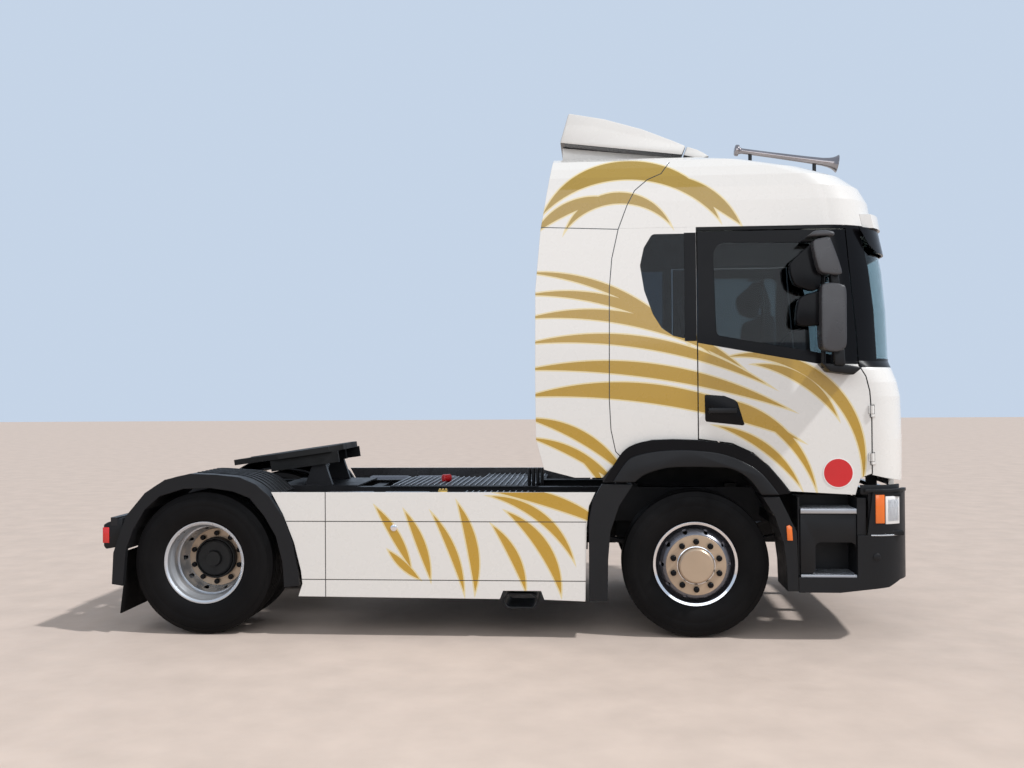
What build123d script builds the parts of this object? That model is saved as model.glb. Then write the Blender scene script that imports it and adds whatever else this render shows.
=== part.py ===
"""Two-axle tractor unit with a high-roof sleeper cab, built as an assembly of separate named pieces.

Millimetres. +X is forward, +Y is the truck's left, +Z is up. The origin is on the ground under the middle
of the truck. Most outlines are drawn from the side, with x counted from the front axle and z from the ground.
"""

import os

from build123d import *

os.makedirs("parts", exist_ok=True)

# Overall layout
WHEELBASE = 3550
FRONT_OVERHANG = 1512
REAR_OVERHANG = 762
LENGTH = FRONT_OVERHANG + WHEELBASE + REAR_OVERHANG
FRONT_AXLE_X = LENGTH / 2 - FRONT_OVERHANG
REAR_AXLE_X = FRONT_AXLE_X - WHEELBASE
FIT = 0.3
DOOR_GAP = 8

# Tyres and rims
TYRE_D = 1044
TYRE_W = 296
WHEEL_Z = TYRE_D / 2
RIM_D = 597
RIM_W = 254
RIM_WALL = 9
DROP_R = 262
DISC_FACE = 175
DISC_T = 12
DISC_FLAT_R = 222
DISC_BORE_R = 141
HAND_HOLES = 10
HAND_HOLE_R = 17
HAND_HOLE_PITCH_R = 240
FRONT_TYRE_Y = 1020
DUAL_Y = 910

# Hubs and brakes
SPINDLE_R = 35
REAR_SPINDLE_R = 50
RUN_CLEARANCE = 0.05
DRUM_R = 210
HUB_CAP_R = 124
REAR_HUB_R = 138

# Steering
KINGPIN_Y = 875
KINGPIN_R = 20
EYE_R = 38
EYE_H = 130
LUG_T = 44
ARM_LENGTH = 200
TIE_ROD_R = 18
BALL_PIN_R = 10

# Frame
RAIL_Y = 385
RAIL_H = 265
RAIL_TOP = 1000
RAIL_FLANGE = 80
RAIL_T = 9
RAIL_FRONT = 1180
RAIL_REAR = -4190

# Cab, with x from the front axle
CAB_REAR = -645
CAB_WALL = 60
GLASS_T = 6
GLASS_INSET = 1
DOOR_HINGE_X = 1214
DOOR_HINGE_Y = 1220
DOOR_HINGES = (1230, 1560)
HINGE_PIN_R = 8
HINGE_RING_R = 14
HINGE_H = 78
LUG_H = 20
DOOR_TOP = 2880
TILT_X = 1400
TILT_Z = 860

# Arches and skirts
ARCH_Y = 1255
ARCH_INNER_Y = 860
ARCH_SKIN = 10
LIP_T = 40
SKIRT_Y = 1245
SKIRT_T = 20
SKIRT_TOP = 1038
SKIRT_BOTTOM = 290

FRONT_AXLE = Vector(FRONT_AXLE_X, 0, 0)
SIDE = Plane(origin=FRONT_AXLE, x_dir=(1, 0, 0), z_dir=(0, -1, 0))
PLAN = Plane(origin=FRONT_AXLE, x_dir=(1, 0, 0), z_dir=(0, 0, 1))
ACROSS = Plane(origin=FRONT_AXLE, x_dir=(0, 1, 0), z_dir=(1, 0, 0))


def prism(outline, low_y, high_y, radius=0, margin=0):
    """A side-view outline of (x, z) points, as thick as from low_y to high_y on the truck's right."""
    with BuildPart() as made:
        with BuildSketch(SIDE.offset(low_y)):
            with BuildLine():
                FilletPolyline(*outline, radius=radius, close=True)
            make_face()
            if margin:
                offset(amount=margin, kind=Kind.INTERSECTION)
        extrude(amount=high_y - low_y)
    return made.part


def slab(outline, low_z, high_z, radius=0):
    """A plan-view outline of (x, y) points, as thick as from low_z to high_z."""
    with BuildPart() as made:
        with BuildSketch(PLAN.offset(low_z)):
            with BuildLine():
                FilletPolyline(*outline, radius=radius, close=True)
            make_face()
        extrude(amount=high_z - low_z)
    return made.part


def block(low, high):
    """A box between two corners, with x from the front axle."""
    size = [b - a for a, b in zip(low, high)]
    centre = [(a + b) / 2 for a, b in zip(low, high)]
    with BuildPart() as made:
        with Locations((FRONT_AXLE_X + centre[0], centre[1], centre[2])):
            Box(*size)
    return made.part


def rod(start, end, radius):
    """A round bar between two points, with x from the front axle."""
    a, b = FRONT_AXLE + Vector(*start), FRONT_AXLE + Vector(*end)
    with BuildPart() as made:
        with BuildSketch(Plane(origin=a, z_dir=b - a)):
            Circle(radius)
        extrude(amount=(b - a).length)
    return made.part


def spun(profile, axle_x, centre_y, radius=0):
    """A ring turned about an axle from a section of (outboard, radius) points, on the truck's right."""
    centre = Vector(axle_x, -centre_y, WHEEL_Z)
    with BuildPart() as made:
        with BuildSketch(Plane(origin=centre, x_dir=(0, -1, 0), z_dir=(-1, 0, 0))):
            with BuildLine():
                FilletPolyline(*profile, radius=radius, close=True)
            make_face()
        revolve(axis=Axis(centre, (0, 1, 0)))
    return made.part


def both_sides(part):
    """The part and its mirror image, as separate solids of one node."""
    return Compound(children=[*part.solids(), *mirror(part, about=Plane.XZ).solids()])


def save(part, name):
    part.label = name
    export_step(part, f"parts/{name}.step")


def save_pair(part, name):
    save(part, f"{name}_right")
    save(mirror(part, about=Plane.XZ), f"{name}_left")


# Tyres

TYRE_R = TYRE_D / 2
BEAD_R = RIM_D / 2 + FIT
HALF_W = TYRE_W / 2
TYRE_SECTION = [
    (-122, BEAD_R),
    (-HALF_W + 6, 345),
    (-HALF_W, 410),
    (-HALF_W + 12, 480),
    (-HALF_W + 26, TYRE_R - 6),
    (0, TYRE_R),
    (HALF_W - 26, TYRE_R - 6),
    (HALF_W - 12, 480),
    (HALF_W, 410),
    (HALF_W - 6, 345),
    (122, BEAD_R),
]
TYRE_RADII = [0, 40, 60, 60, 16, 0, 16, 60, 60, 40, 0]

OUTER_DUAL_Y = DUAL_Y + DISC_FACE
INNER_DUAL_Y = DUAL_Y - DISC_FACE

front_tyre = spun(TYRE_SECTION, FRONT_AXLE_X, FRONT_TYRE_Y, TYRE_RADII)
save_pair(front_tyre, "front_tyre")

with BuildPart() as rear_tyres:
    for tyre_y in (OUTER_DUAL_Y, INNER_DUAL_Y):
        add(spun(TYRE_SECTION, REAR_AXLE_X, tyre_y, TYRE_RADII))
save_pair(rear_tyres.part, "rear_tyres")

# Rims: a drop-centre barrel and a dished disc, the disc outboard for turn = 1 and inboard for turn = -1

FLANGE_R = RIM_D / 2
FLANGE = RIM_W / 2
BARREL = [
    (FLANGE, FLANGE_R),
    (FLANGE - 7, FLANGE_R),
    (FLANGE - 15, FLANGE_R - 14),
    (60, FLANGE_R - 18),
    (40, DROP_R),
    (-40, DROP_R),
    (-80, FLANGE_R - 18),
    (-FLANGE + 15, FLANGE_R - 14),
    (-FLANGE + 7, FLANGE_R),
    (-FLANGE, FLANGE_R),
    (-FLANGE, FLANGE_R - 9),
    (-FLANGE + 9, FLANGE_R - 22),
    (-84, FLANGE_R - 18 - RIM_WALL),
    (-45, DROP_R - RIM_WALL),
    (45, DROP_R - RIM_WALL),
    (64, FLANGE_R - 18 - RIM_WALL),
    (FLANGE - 9, FLANGE_R - 22),
    (FLANGE, FLANGE_R - 9),
]
DISC = [
    (30, DROP_R - 4),
    (44, DROP_R - 4),
    (116, DISC_FLAT_R + 26),
    (162, DISC_FLAT_R + 10),
    (DISC_FACE, DISC_FLAT_R - 6),
    (DISC_FACE, DISC_BORE_R),
    (DISC_FACE - DISC_T, DISC_BORE_R),
    (DISC_FACE - DISC_T, DISC_FLAT_R - 10),
    (152, DISC_FLAT_R),
    (110, DISC_FLAT_R + 14),
    (30, DROP_R - 18),
]
DISC_RADII = [0, 0, 20, 12, 12, 0, 0, 6, 12, 20, 0]


def rim(axle_x, rim_y, turn):
    barrel = spun([(turn * o, r) for o, r in BARREL], axle_x, rim_y)
    disc = spun([(turn * o, r) for o, r in DISC], axle_x, rim_y, DISC_RADII)
    hole_start = Plane(
        origin=(axle_x, -rim_y - turn * 90, WHEEL_Z), x_dir=(1, 0, 0), z_dir=(0, -turn, 0)
    )
    with BuildPart() as made:
        add(barrel)
        add(disc)
        with BuildSketch(hole_start):
            with PolarLocations(HAND_HOLE_PITCH_R, HAND_HOLES):
                Circle(HAND_HOLE_R)
        extrude(amount=DISC_FACE - 90, mode=Mode.SUBTRACT)
    return made.part


front_rim = rim(FRONT_AXLE_X, FRONT_TYRE_Y, 1)
save_pair(front_rim, "front_rim")

with BuildPart() as rear_rims:
    add(rim(REAR_AXLE_X, OUTER_DUAL_Y, -1))
    add(rim(REAR_AXLE_X, INNER_DUAL_Y, 1))
save_pair(rear_rims.part, "rear_rims")

# Hubs with their drums; the bore runs on the spindle

FRONT_HUB = [
    (-78, DRUM_R - 14),
    (-78, DRUM_R),
    (90, DRUM_R),
    (DISC_FACE - DISC_T, 190),
    (DISC_FACE - DISC_T, DISC_BORE_R - FIT),
    (DISC_FACE, DISC_BORE_R - FIT),
    (DISC_FACE, DISC_FLAT_R - 10),
    (DISC_FACE + 6, DISC_FLAT_R - 12),
    (DISC_FACE + 6, HUB_CAP_R + 6),
    (DISC_FACE + 12, HUB_CAP_R),
    (DISC_FACE + 44, HUB_CAP_R - 4),
    (DISC_FACE + 52, HUB_CAP_R - 14),
    (DISC_FACE + 52, 0),
    (150, 0),
    (150, SPINDLE_R + RUN_CLEARANCE),
    (-60, SPINDLE_R + RUN_CLEARANCE),
    (-60, 75),
    (70, 75),
    (70, DRUM_R - 14),
]
front_hub = spun(FRONT_HUB, FRONT_AXLE_X, FRONT_TYRE_Y)
save_pair(front_hub, "front_hub")

REAR_HUB = [
    (-210, DRUM_R - 14),
    (-210, DRUM_R),
    (-40, DRUM_R),
    (-DISC_T, 200),
    (-DISC_T, DISC_BORE_R - FIT),
    (DISC_T, DISC_BORE_R - FIT),
    (DISC_T, DISC_FLAT_R - 18),
    (DISC_T + 6, DISC_FLAT_R - 20),
    (DISC_T + 6, REAR_HUB_R),
    (80, REAR_HUB_R - 6),
    (92, REAR_HUB_R - 18),
    (92, 60),
    (120, 53),
    (120, 0),
    (70, 0),
    (70, REAR_SPINDLE_R + RUN_CLEARANCE),
    (-190, REAR_SPINDLE_R + RUN_CLEARANCE),
    (-190, 90),
    (-60, 90),
    (-60, DRUM_R - 14),
]
rear_hub = spun(REAR_HUB, REAR_AXLE_X, DUAL_Y)
save_pair(rear_hub, "rear_hub")

# Steering knuckles, on kingpins that stand in the axle beam's eyes

EYE_LOW, EYE_HIGH = WHEEL_Z - EYE_H / 2, WHEEL_Z + EYE_H / 2
LUG_GAP = 5
LUG_HALF = EYE_R + 4
WEB_Y = KINGPIN_Y + EYE_R + 5
DRUM_BACK_Y = FRONT_TYRE_Y - 78
ARM_HALF = 20
ARM_LOW = EYE_LOW - LUG_GAP - LUG_T
BALL_Z = ARM_LOW - 30

with BuildPart() as knuckle:
    for low, high in (
        (EYE_LOW - LUG_GAP - LUG_T, EYE_LOW - LUG_GAP),
        (EYE_HIGH + LUG_GAP, EYE_HIGH + LUG_GAP + LUG_T),
    ):
        add(rod((0, -KINGPIN_Y, low), (0, -KINGPIN_Y, high), LUG_HALF))
        add(block((-LUG_HALF, -WEB_Y - 22, low), (LUG_HALF, -KINGPIN_Y, high)))
    add(
        block(
            (-LUG_HALF, -WEB_Y - 22, EYE_LOW - LUG_GAP - LUG_T),
            (LUG_HALF, -WEB_Y, EYE_HIGH + LUG_GAP + LUG_T),
        )
    )
    add(rod((0, -WEB_Y, WHEEL_Z), (0, -FRONT_TYRE_Y - 140, WHEEL_Z), SPINDLE_R))
    add(rod((0, -WEB_Y - 16, WHEEL_Z), (0, -DRUM_BACK_Y + 5, WHEEL_Z), DRUM_R - 16))
    add(block((-ARM_LENGTH, -KINGPIN_Y - ARM_HALF, ARM_LOW), (0, -KINGPIN_Y + ARM_HALF, ARM_LOW + 22)))
    add(rod((-ARM_LENGTH, -KINGPIN_Y, ARM_LOW), (-ARM_LENGTH, -KINGPIN_Y, ARM_LOW + 22), 26))
    with Locations((FRONT_AXLE_X, -KINGPIN_Y, WHEEL_Z)):
        Cylinder(KINGPIN_R + RUN_CLEARANCE, EYE_H + 2 * (LUG_GAP + LUG_T) + 20, mode=Mode.SUBTRACT)
    with Locations((FRONT_AXLE_X - ARM_LENGTH, -KINGPIN_Y, ARM_LOW + 11)):
        Cylinder(BALL_PIN_R + 1, 60, mode=Mode.SUBTRACT)
save_pair(knuckle.part, "knuckle")

with BuildPart() as tie_rod:
    add(rod((-ARM_LENGTH, -KINGPIN_Y, BALL_Z), (-ARM_LENGTH, KINGPIN_Y, BALL_Z), TIE_ROD_R))
    for side in (-1, 1):
        ball_y = side * KINGPIN_Y
        add(rod((-ARM_LENGTH, ball_y, BALL_Z - 24), (-ARM_LENGTH, ball_y, BALL_Z + 24), 24))
        add(
            rod(
                (-ARM_LENGTH, side * KINGPIN_Y, BALL_Z),
                (-ARM_LENGTH, side * KINGPIN_Y, ARM_LOW + 22),
                BALL_PIN_R,
            )
        )
save(tie_rod.part, "tie_rod")

# Front axle beam, dropped between its ends

BEAM_HALF = 42
PAD_Z = 500
BEAM_OUTLINE = [
    (-KINGPIN_Y, EYE_HIGH),
    (-KINGPIN_Y, EYE_LOW),
    (-700, 380),
    (700, 380),
    (KINGPIN_Y, EYE_LOW),
    (KINGPIN_Y, EYE_HIGH),
    (620, PAD_Z),
    (-620, PAD_Z),
]
with BuildPart() as front_axle:
    with BuildSketch(ACROSS.offset(-BEAM_HALF)):
        with BuildLine():
            FilletPolyline(*BEAM_OUTLINE, radius=[0, 0, 60, 60, 0, 0, 80, 80], close=True)
        make_face()
    extrude(amount=2 * BEAM_HALF)
    for side in (-1, 1):
        with Locations((FRONT_AXLE_X, side * KINGPIN_Y, WHEEL_Z)):
            Box(2 * LUG_HALF + 30, 2 * EYE_R + 50, EYE_H + 60, mode=Mode.SUBTRACT)
        add(rod((0, side * KINGPIN_Y, EYE_LOW), (0, side * KINGPIN_Y, EYE_HIGH), EYE_R))
        with Locations((FRONT_AXLE_X, side * (KINGPIN_Y - 48), WHEEL_Z)):
            Box(48, 95, EYE_H - 32)
        add(
            rod(
                (0, side * KINGPIN_Y, EYE_LOW - LUG_GAP - LUG_T),
                (0, side * KINGPIN_Y, EYE_HIGH + LUG_GAP + LUG_T),
                KINGPIN_R,
            )
        )
save(front_axle.part, "front_axle")

# Frame: two channel rails and the members between them

RAIL_BOTTOM = RAIL_TOP - RAIL_H
RAIL_SECTION = [
    (RAIL_Y, RAIL_BOTTOM),
    (RAIL_Y, RAIL_TOP),
    (RAIL_Y - RAIL_FLANGE, RAIL_TOP),
    (RAIL_Y - RAIL_FLANGE, RAIL_TOP - RAIL_T),
    (RAIL_Y - RAIL_T, RAIL_TOP - RAIL_T),
    (RAIL_Y - RAIL_T, RAIL_BOTTOM + RAIL_T),
    (RAIL_Y - RAIL_FLANGE, RAIL_BOTTOM + RAIL_T),
    (RAIL_Y - RAIL_FLANGE, RAIL_BOTTOM),
]
with BuildPart() as rail:
    with BuildSketch(ACROSS.offset(RAIL_REAR)):
        with BuildLine():
            Polyline(*[(-y, z) for y, z in RAIL_SECTION], close=True)
        make_face()
    extrude(amount=RAIL_FRONT - RAIL_REAR)
save(both_sides(rail.part), "frame_rails")

WEB_IN = RAIL_Y - RAIL_T
MEMBERS = [
    # rear face x, length, low z, high z
    (1080, 90, 760, 975),
    (-1720, 90, 760, 975),
    (-2560, 90, 760, 975),
    (RAIL_REAR, 60, 750, 985),
]
with BuildPart() as crossmembers:
    for rear, length, low, high in MEMBERS:
        add(block((rear, -WEB_IN, low), (rear + length, WEB_IN, high)))
    add(block((RAIL_REAR - 60, -700, 760), (RAIL_REAR, 700, 900)))
    for side in (-1, 1):
        with Locations((FRONT_AXLE_X + RAIL_REAR - 35, side * 955, 820)):
            Box(50, 520, 60)
save(crossmembers.part, "crossmembers")

# Front leaf springs with their hangers, and the rear air springs on trailing arms

SPRING_Y = 385
SPRING_HALF = 42
SPRING_T = 44
SPRING_REACH = 780
with BuildPart() as front_spring:
    with BuildSketch(SIDE.offset(SPRING_Y - SPRING_HALF)):
        with BuildLine():
            upper = ThreePointArc(
                (-SPRING_REACH, 668), (0, PAD_Z + SPRING_T), (SPRING_REACH, 668)
            )
            lower = ThreePointArc(
                (-SPRING_REACH, 650), (0, PAD_Z), (SPRING_REACH, 650)
            )
            Line(upper @ 0, lower @ 0)
            Line(upper @ 1, lower @ 1)
        make_face()
    extrude(amount=2 * SPRING_HALF)
    for end in (-SPRING_REACH, SPRING_REACH):
        add(rod((end, -SPRING_Y - SPRING_HALF, 660), (end, -SPRING_Y + SPRING_HALF, 660), 30))
        add(block((end - 22, -SPRING_Y - SPRING_HALF, 660), (end + 22, -SPRING_Y + SPRING_HALF, RAIL_BOTTOM)))

REAR = -WHEELBASE
ARM_OUTLINE = [
    (REAR + 760, RAIL_BOTTOM),
    (REAR + 660, RAIL_BOTTOM),
    (REAR + 640, 640),
    (REAR + 130, 640),
    (REAR - 130, 640),
    (REAR - 560, 560),
    (REAR - 560, 500),
    (REAR - 130, 520),
    (REAR - 80, 603),
    (REAR + 80, 603),
    (REAR + 640, 560),
    (REAR + 760, 600),
]
BELLOWS_X = REAR - 440
with BuildPart() as rear_spring:
    add(prism(ARM_OUTLINE, SPRING_Y - 45, SPRING_Y + 45))
    with Locations((FRONT_AXLE_X + BELLOWS_X, -SPRING_Y, (560 + RAIL_BOTTOM) / 2)):
        Cylinder(120, RAIL_BOTTOM - 560)
suspension = [*both_sides(front_spring.part).solids(), *both_sides(rear_spring.part).solids()]
save(Compound(children=suspension), "suspension")

# Rear axle: banjo housing, tubes and spindles

with BuildPart() as rear_axle:
    with Locations((REAR_AXLE_X, 0, WHEEL_Z)):
        Sphere(230)
    add(rod((REAR, -698, WHEEL_Z), (REAR, 698, WHEEL_Z), 80))
    add(rod((REAR, -DUAL_Y - 60, WHEEL_Z), (REAR, DUAL_Y + 60, WHEEL_Z), REAR_SPINDLE_R))
    for side in (-1, 1):
        add(rod((REAR, side * 684, WHEEL_Z), (REAR, side * 697, WHEEL_Z), DRUM_R - 16))
save(rear_axle.part, "rear_axle")

# Engine and driveline as plain masses in their real places

ENGINE_Y = 285
with BuildPart() as engine:
    add(block((-540, -ENGINE_Y, 590), (480, ENGINE_Y, 1270)))
    for foot_x in (-460, 300):
        add(block((foot_x, -RAIL_Y, RAIL_TOP), (foot_x + 90, RAIL_Y, RAIL_TOP + 30)))
save(engine.part, "engine")

with BuildPart() as driveline:
    add(rod((-1400, 0, 720), (-540, 0, 720), 210))
    add(rod((-1400, 0, 700), (REAR + 200, 0, 560), 55))
    with Locations((REAR_AXLE_X, 0, WHEEL_Z)):
        Sphere(230 + FIT, mode=Mode.SUBTRACT)
save(driveline.part, "driveline")

# Cab body: plan sections stacked from the sills to the roof, wider corners above the belt

LEVELS = [
    # z, front on the centre line, half width, corner radius, sweep back of the corners
    (1000, 1502, 1213, 250, 42),
    (1105, 1502, 1213, 250, 42),
    (1400, 1505, 1215, 250, 42),
    (1702, 1496, 1215, 250, 42),
    (1800, 1476, 1214, 260, 40),
    (1890, 1450, 1213, 320, 36),
    (1950, 1444, 1212, 430, 30),
    (2311, 1432, 1206, 430, 30),
    (2600, 1406, 1200, 430, 30),
    (2750, 1379, 1196, 430, 30),
    (2900, 1345, 1190, 420, 30),
    (3093, 1312, 1180, 420, 30),
    (3194, 1250, 1168, 400, 28),
    (3279, 1125, 1145, 380, 24),
    (3349, 893, 1110, 350, 20),
    (3413, 532, 1060, 300, 16),
    (3441, 282, 1000, 250, 12),
]
ROOF_Z = 2905
ROOF_TOP = LEVELS[-1][0]
COWL_Z = 1905


def cab_solid(rear, inset=0):
    """The cab's outer form, or the same form inset by a wall, back to a rear plane."""
    with BuildPart() as made:
        for z, front, half, corner, sweep in LEVELS:
            above = max(0, z - ROOF_Z) / (ROOF_TOP - ROOF_Z)
            f, h, r = front - inset, half - inset, corner - inset / 2
            with BuildSketch(PLAN.offset(z - inset * above)):
                with BuildLine():
                    FilletPolyline(
                        (rear, -h),
                        (f - sweep, -h),
                        (f, -h / 3),
                        (f, h / 3),
                        (f - sweep, h),
                        (rear, h),
                        radius=[0, r, 4000, 4000, r, 0],
                        close=True,
                    )
                make_face()
        loft(ruled=True)
    return made.part


ARCH_EDGE = [
    (648, 1036),
    (593, 1109),
    (505, 1214),
    (402, 1305),
    (253, 1374),
    (20, 1405),
    (-154, 1411),
    (-304, 1406),
    (-426, 1376),
    (-503, 1308),
    (-650, 1139),
]
UNDERSIDE = [
    (1700, 1105),
    (1476, 1105),
    (1305, 1136),
    (1200, 1161),
    (1141, 1131),
    (1118, 1063),
    (1104, 1011),
    *ARCH_EDGE,
    (-1300, 1139),
    (-1300, 900),
    (1700, 900),
]
DOOR_SEAM = [
    # the front seam, from the roof down
    (1059, DOOR_TOP),
    (1078, 2623),
    (1106, 2324),
    (1125, 2110),
    (1135, 1919),
    (1180, 1844),
    (1205, 1738),
    (1217, 1556),
    (1217, 1161),
]
DOOR_REAR = 18
DOOR = [
    (DOOR_REAR, DOOR_TOP),
    *DOOR_SEAM,
    (1141, 1131),
    (1118, 1063),
    (1104, 1011),
    *ARCH_EDGE[:5],
    (DOOR_REAR, 1405),
]
DOOR_WINDOW = [(135, 2792), (154, 2140), (968, 1990), (975, 2777)]
QUARTER_WINDOW = [
    (-290, 2860),
    (-348, 2764),
    (-376, 2638),
    (-347, 2457),
    (-288, 2293),
    (-227, 2193),
    (-148, 2138),
    (-55, 2115),
    (-55, 2860),
]
BELT = [(DOOR_REAR - 50, 2097), (849, 1932), (1160, 1926)]
SCREEN_HALF = 1110
SCREEN_LOW, SCREEN_HIGH = 1968, 2830
LID_HALF = 860
LID_LOW, LID_HIGH = 1150, 1845

outer = cab_solid(CAB_REAR)
inner = cab_solid(CAB_REAR + CAB_WALL, CAB_WALL)
with BuildPart() as cab_shell:
    add(outer)
    add(inner, mode=Mode.SUBTRACT)
    below = block((-700, -2000, 900), (1700, 2000, 1105))
    add(below.intersect(block((-700, -860, 900), (1700, 860, 1105))), mode=Mode.SUBTRACT)
    for low_y in (860, -1500):
        add(prism(UNDERSIDE, low_y, low_y + 640), mode=Mode.SUBTRACT)

with BuildPart() as pane_layer:
    add(cab_solid(CAB_REAR, GLASS_INSET))
    add(cab_solid(CAB_REAR + GLASS_INSET + GLASS_T, GLASS_INSET + GLASS_T), mode=Mode.SUBTRACT)


def cut_from(whole, keep, remove=()):
    """What a region keeps of a shell, less the regions to remove."""
    with BuildPart() as made:
        add(whole)
        add(keep, mode=Mode.INTERSECT)
        for region in remove:
            add(region, mode=Mode.SUBTRACT)
    return made.part


# Side fairings behind the cab, which lap over its rear edge

FAIRING = [
    (-156, 3391),
    (-219, 3300),
    (-317, 3256),
    (-408, 3177),
    (-464, 3069),
    (-527, 2900),
    (-574, 2692),
    (-593, 2476),
    (-599, 1688),
    (-589, 1476),
    (-557, 1323),
    (-540, 1266),
    (-650, 1139),
    (-845, 1139),
    (-1064, 1196),
    (-1120, 1409),
    (-1124, 1834),
    (-1119, 2474),
    (-1080, 2900),
    (-990, 3420),
    (-985, ROOF_TOP + 10),
    (-156, ROOF_TOP + 10),
]
FAIRING_T = 22
with BuildPart() as fairing_shell:
    add(cab_solid(-1124))
    add(cab_solid(-1200, FAIRING_T), mode=Mode.SUBTRACT)
fairing_zone = prism(FAIRING, 600, 1400)
fairing = cut_from(fairing_shell.part, fairing_zone)
save(both_sides(fairing), "side_fairings")

# Doors: a lower panel, a dark window frame and the glass

door_zone = prism(DOOR, 1080, 1400, margin=-DOOR_GAP)
door_hole = prism(DOOR, 1080, 1400)
window_hole = prism(DOOR_WINDOW, 1080, 1400, radius=[90, 40, 30, 60])
lower_zone = prism([(-40, 900), *BELT, (1400, 1926), (1400, 900)], 1080, 1400)
door_shell = cut_from(cab_shell.part, door_zone)
door_panel = cut_from(door_shell, lower_zone)
door_frame = cut_from(door_shell, door_zone, [lower_zone, window_hole])
door_glass = cut_from(pane_layer.part, window_hole)


def hinge_bar(low, high, radius):
    """An upright round on the right door's hinge line."""
    return rod((DOOR_HINGE_X, -DOOR_HINGE_Y, low), (DOOR_HINGE_X, -DOOR_HINGE_Y, high), radius)


with BuildPart() as door_skin:
    add(door_panel)
    for z in DOOR_HINGES:
        add(hinge_bar(z - 6, z + LUG_H + 2, HINGE_RING_R + 2), mode=Mode.SUBTRACT)
        add(hinge_bar(z + LUG_H + 2, z + HINGE_H, HINGE_RING_R))
        add(
            block(
                (DOOR_HINGE_X - 24, -DOOR_HINGE_Y - 2, z + LUG_H + 2),
                (DOOR_HINGE_X - 6, -DOOR_HINGE_Y + 20, z + HINGE_H),
            )
        )
        add(hinge_bar(z, z + HINGE_H, HINGE_PIN_R + RUN_CLEARANCE), mode=Mode.SUBTRACT)
    with Locations((FRONT_AXLE_X + 190, -1236, 1610)):
        Box(190, 10, 34)
    for foot_x in (105, 275):
        with Locations((FRONT_AXLE_X + foot_x, -1222, 1610)):
            Box(24, 30, 34)
save_pair(door_skin.part, "door_panel")
save_pair(door_frame, "door_frame")
save_pair(door_glass, "door_glass")

# Cab sides, roof, rear wall, front and windscreen frame

BODY_SPLIT = 1140
quarter_hole = prism(QUARTER_WINDOW, 1080, 1400, radius=[40, 30, 60, 60, 40, 40, 30, 20, 20])
side_zone = block((-700, -1400, 1000), (DOOR_REAR, -BODY_SPLIT, ROOF_Z))
cab_side = cut_from(cab_shell.part, side_zone, [door_hole, quarter_hole, fairing])
save(both_sides(cab_side), "cab_sides")
quarter_glass = cut_from(pane_layer.part, quarter_hole)

both_fairings = [fairing, mirror(fairing, about=Plane.XZ)]
roof = cut_from(cab_shell.part, block((-700, -1400, ROOF_Z), (1700, 1400, 3600)), both_fairings)
save(roof, "roof")

cab_rear = cut_from(cab_shell.part, block((-700, -BODY_SPLIT, 1105), (-590, BODY_SPLIT, ROOF_Z)))
save(cab_rear, "cab_rear")

GRILLE_HALF = 740
LID_HINGE_X = 1466
LID_HINGE_Z = 1852
GRILLE_LOW = 905
GRILLE = [
    (1490, -GRILLE_HALF),
    (1502, -420),
    (1502, 420),
    (1490, GRILLE_HALF),
    (1450, GRILLE_HALF),
    (1462, 420),
    (1462, -420),
    (1450, -GRILLE_HALF),
]
lid_zone = block((1300, -LID_HALF, LID_LOW), (1700, LID_HALF, LID_HIGH))
lid_hole = block(
    (1300, -LID_HALF - DOOR_GAP, LID_LOW - DOOR_GAP), (1700, LID_HALF + DOOR_GAP, LID_HIGH + DOOR_GAP)
)
door_holes = [door_hole, mirror(door_hole, about=Plane.XZ)]
front_zone = block((1040, -1400, 1000), (1700, 1400, COWL_Z))
cab_front = cut_from(cab_shell.part, front_zone, [lid_hole, *door_holes])
front_lid = cut_from(cab_shell.part, lid_zone)
with BuildPart() as door_lugs:
    for z in DOOR_HINGES:
        add(hinge_bar(z, z + LUG_H, HINGE_RING_R - 3))
        add(block((DOOR_HINGE_X, -DOOR_HINGE_Y - 3, z), (DOOR_HINGE_X + 24, -DOOR_HINGE_Y + 18, z + LUG_H)))
        add(hinge_bar(z, z + HINGE_H, HINGE_PIN_R))
with BuildPart() as hinge_rooms:
    for z in DOOR_HINGES:
        add(hinge_bar(z + LUG_H, z + HINGE_H + 6, HINGE_RING_R + 5))


def lid_bar(low, high, radius):
    """A round across the truck on the lid's hinge line, at both hinges."""
    with BuildPart() as made:
        for side in (-1, 1):
            add(rod((LID_HINGE_X, side * low, LID_HINGE_Z), (LID_HINGE_X, side * high, LID_HINGE_Z), radius))
    return made.part


with BuildPart() as lid:
    add(front_lid)
    add(lid_bar(528, 556, 18), mode=Mode.SUBTRACT)
    add(lid_bar(470, 530, 12))
    for side in (-1, 1):
        with Locations((FRONT_AXLE_X + LID_HINGE_X - 10, side * 500, LID_HINGE_Z - 12)):
            Box(32, 60, 24)
    add(lid_bar(460, 560, 6 + RUN_CLEARANCE), mode=Mode.SUBTRACT)
save(lid.part, "front_lid")

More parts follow.
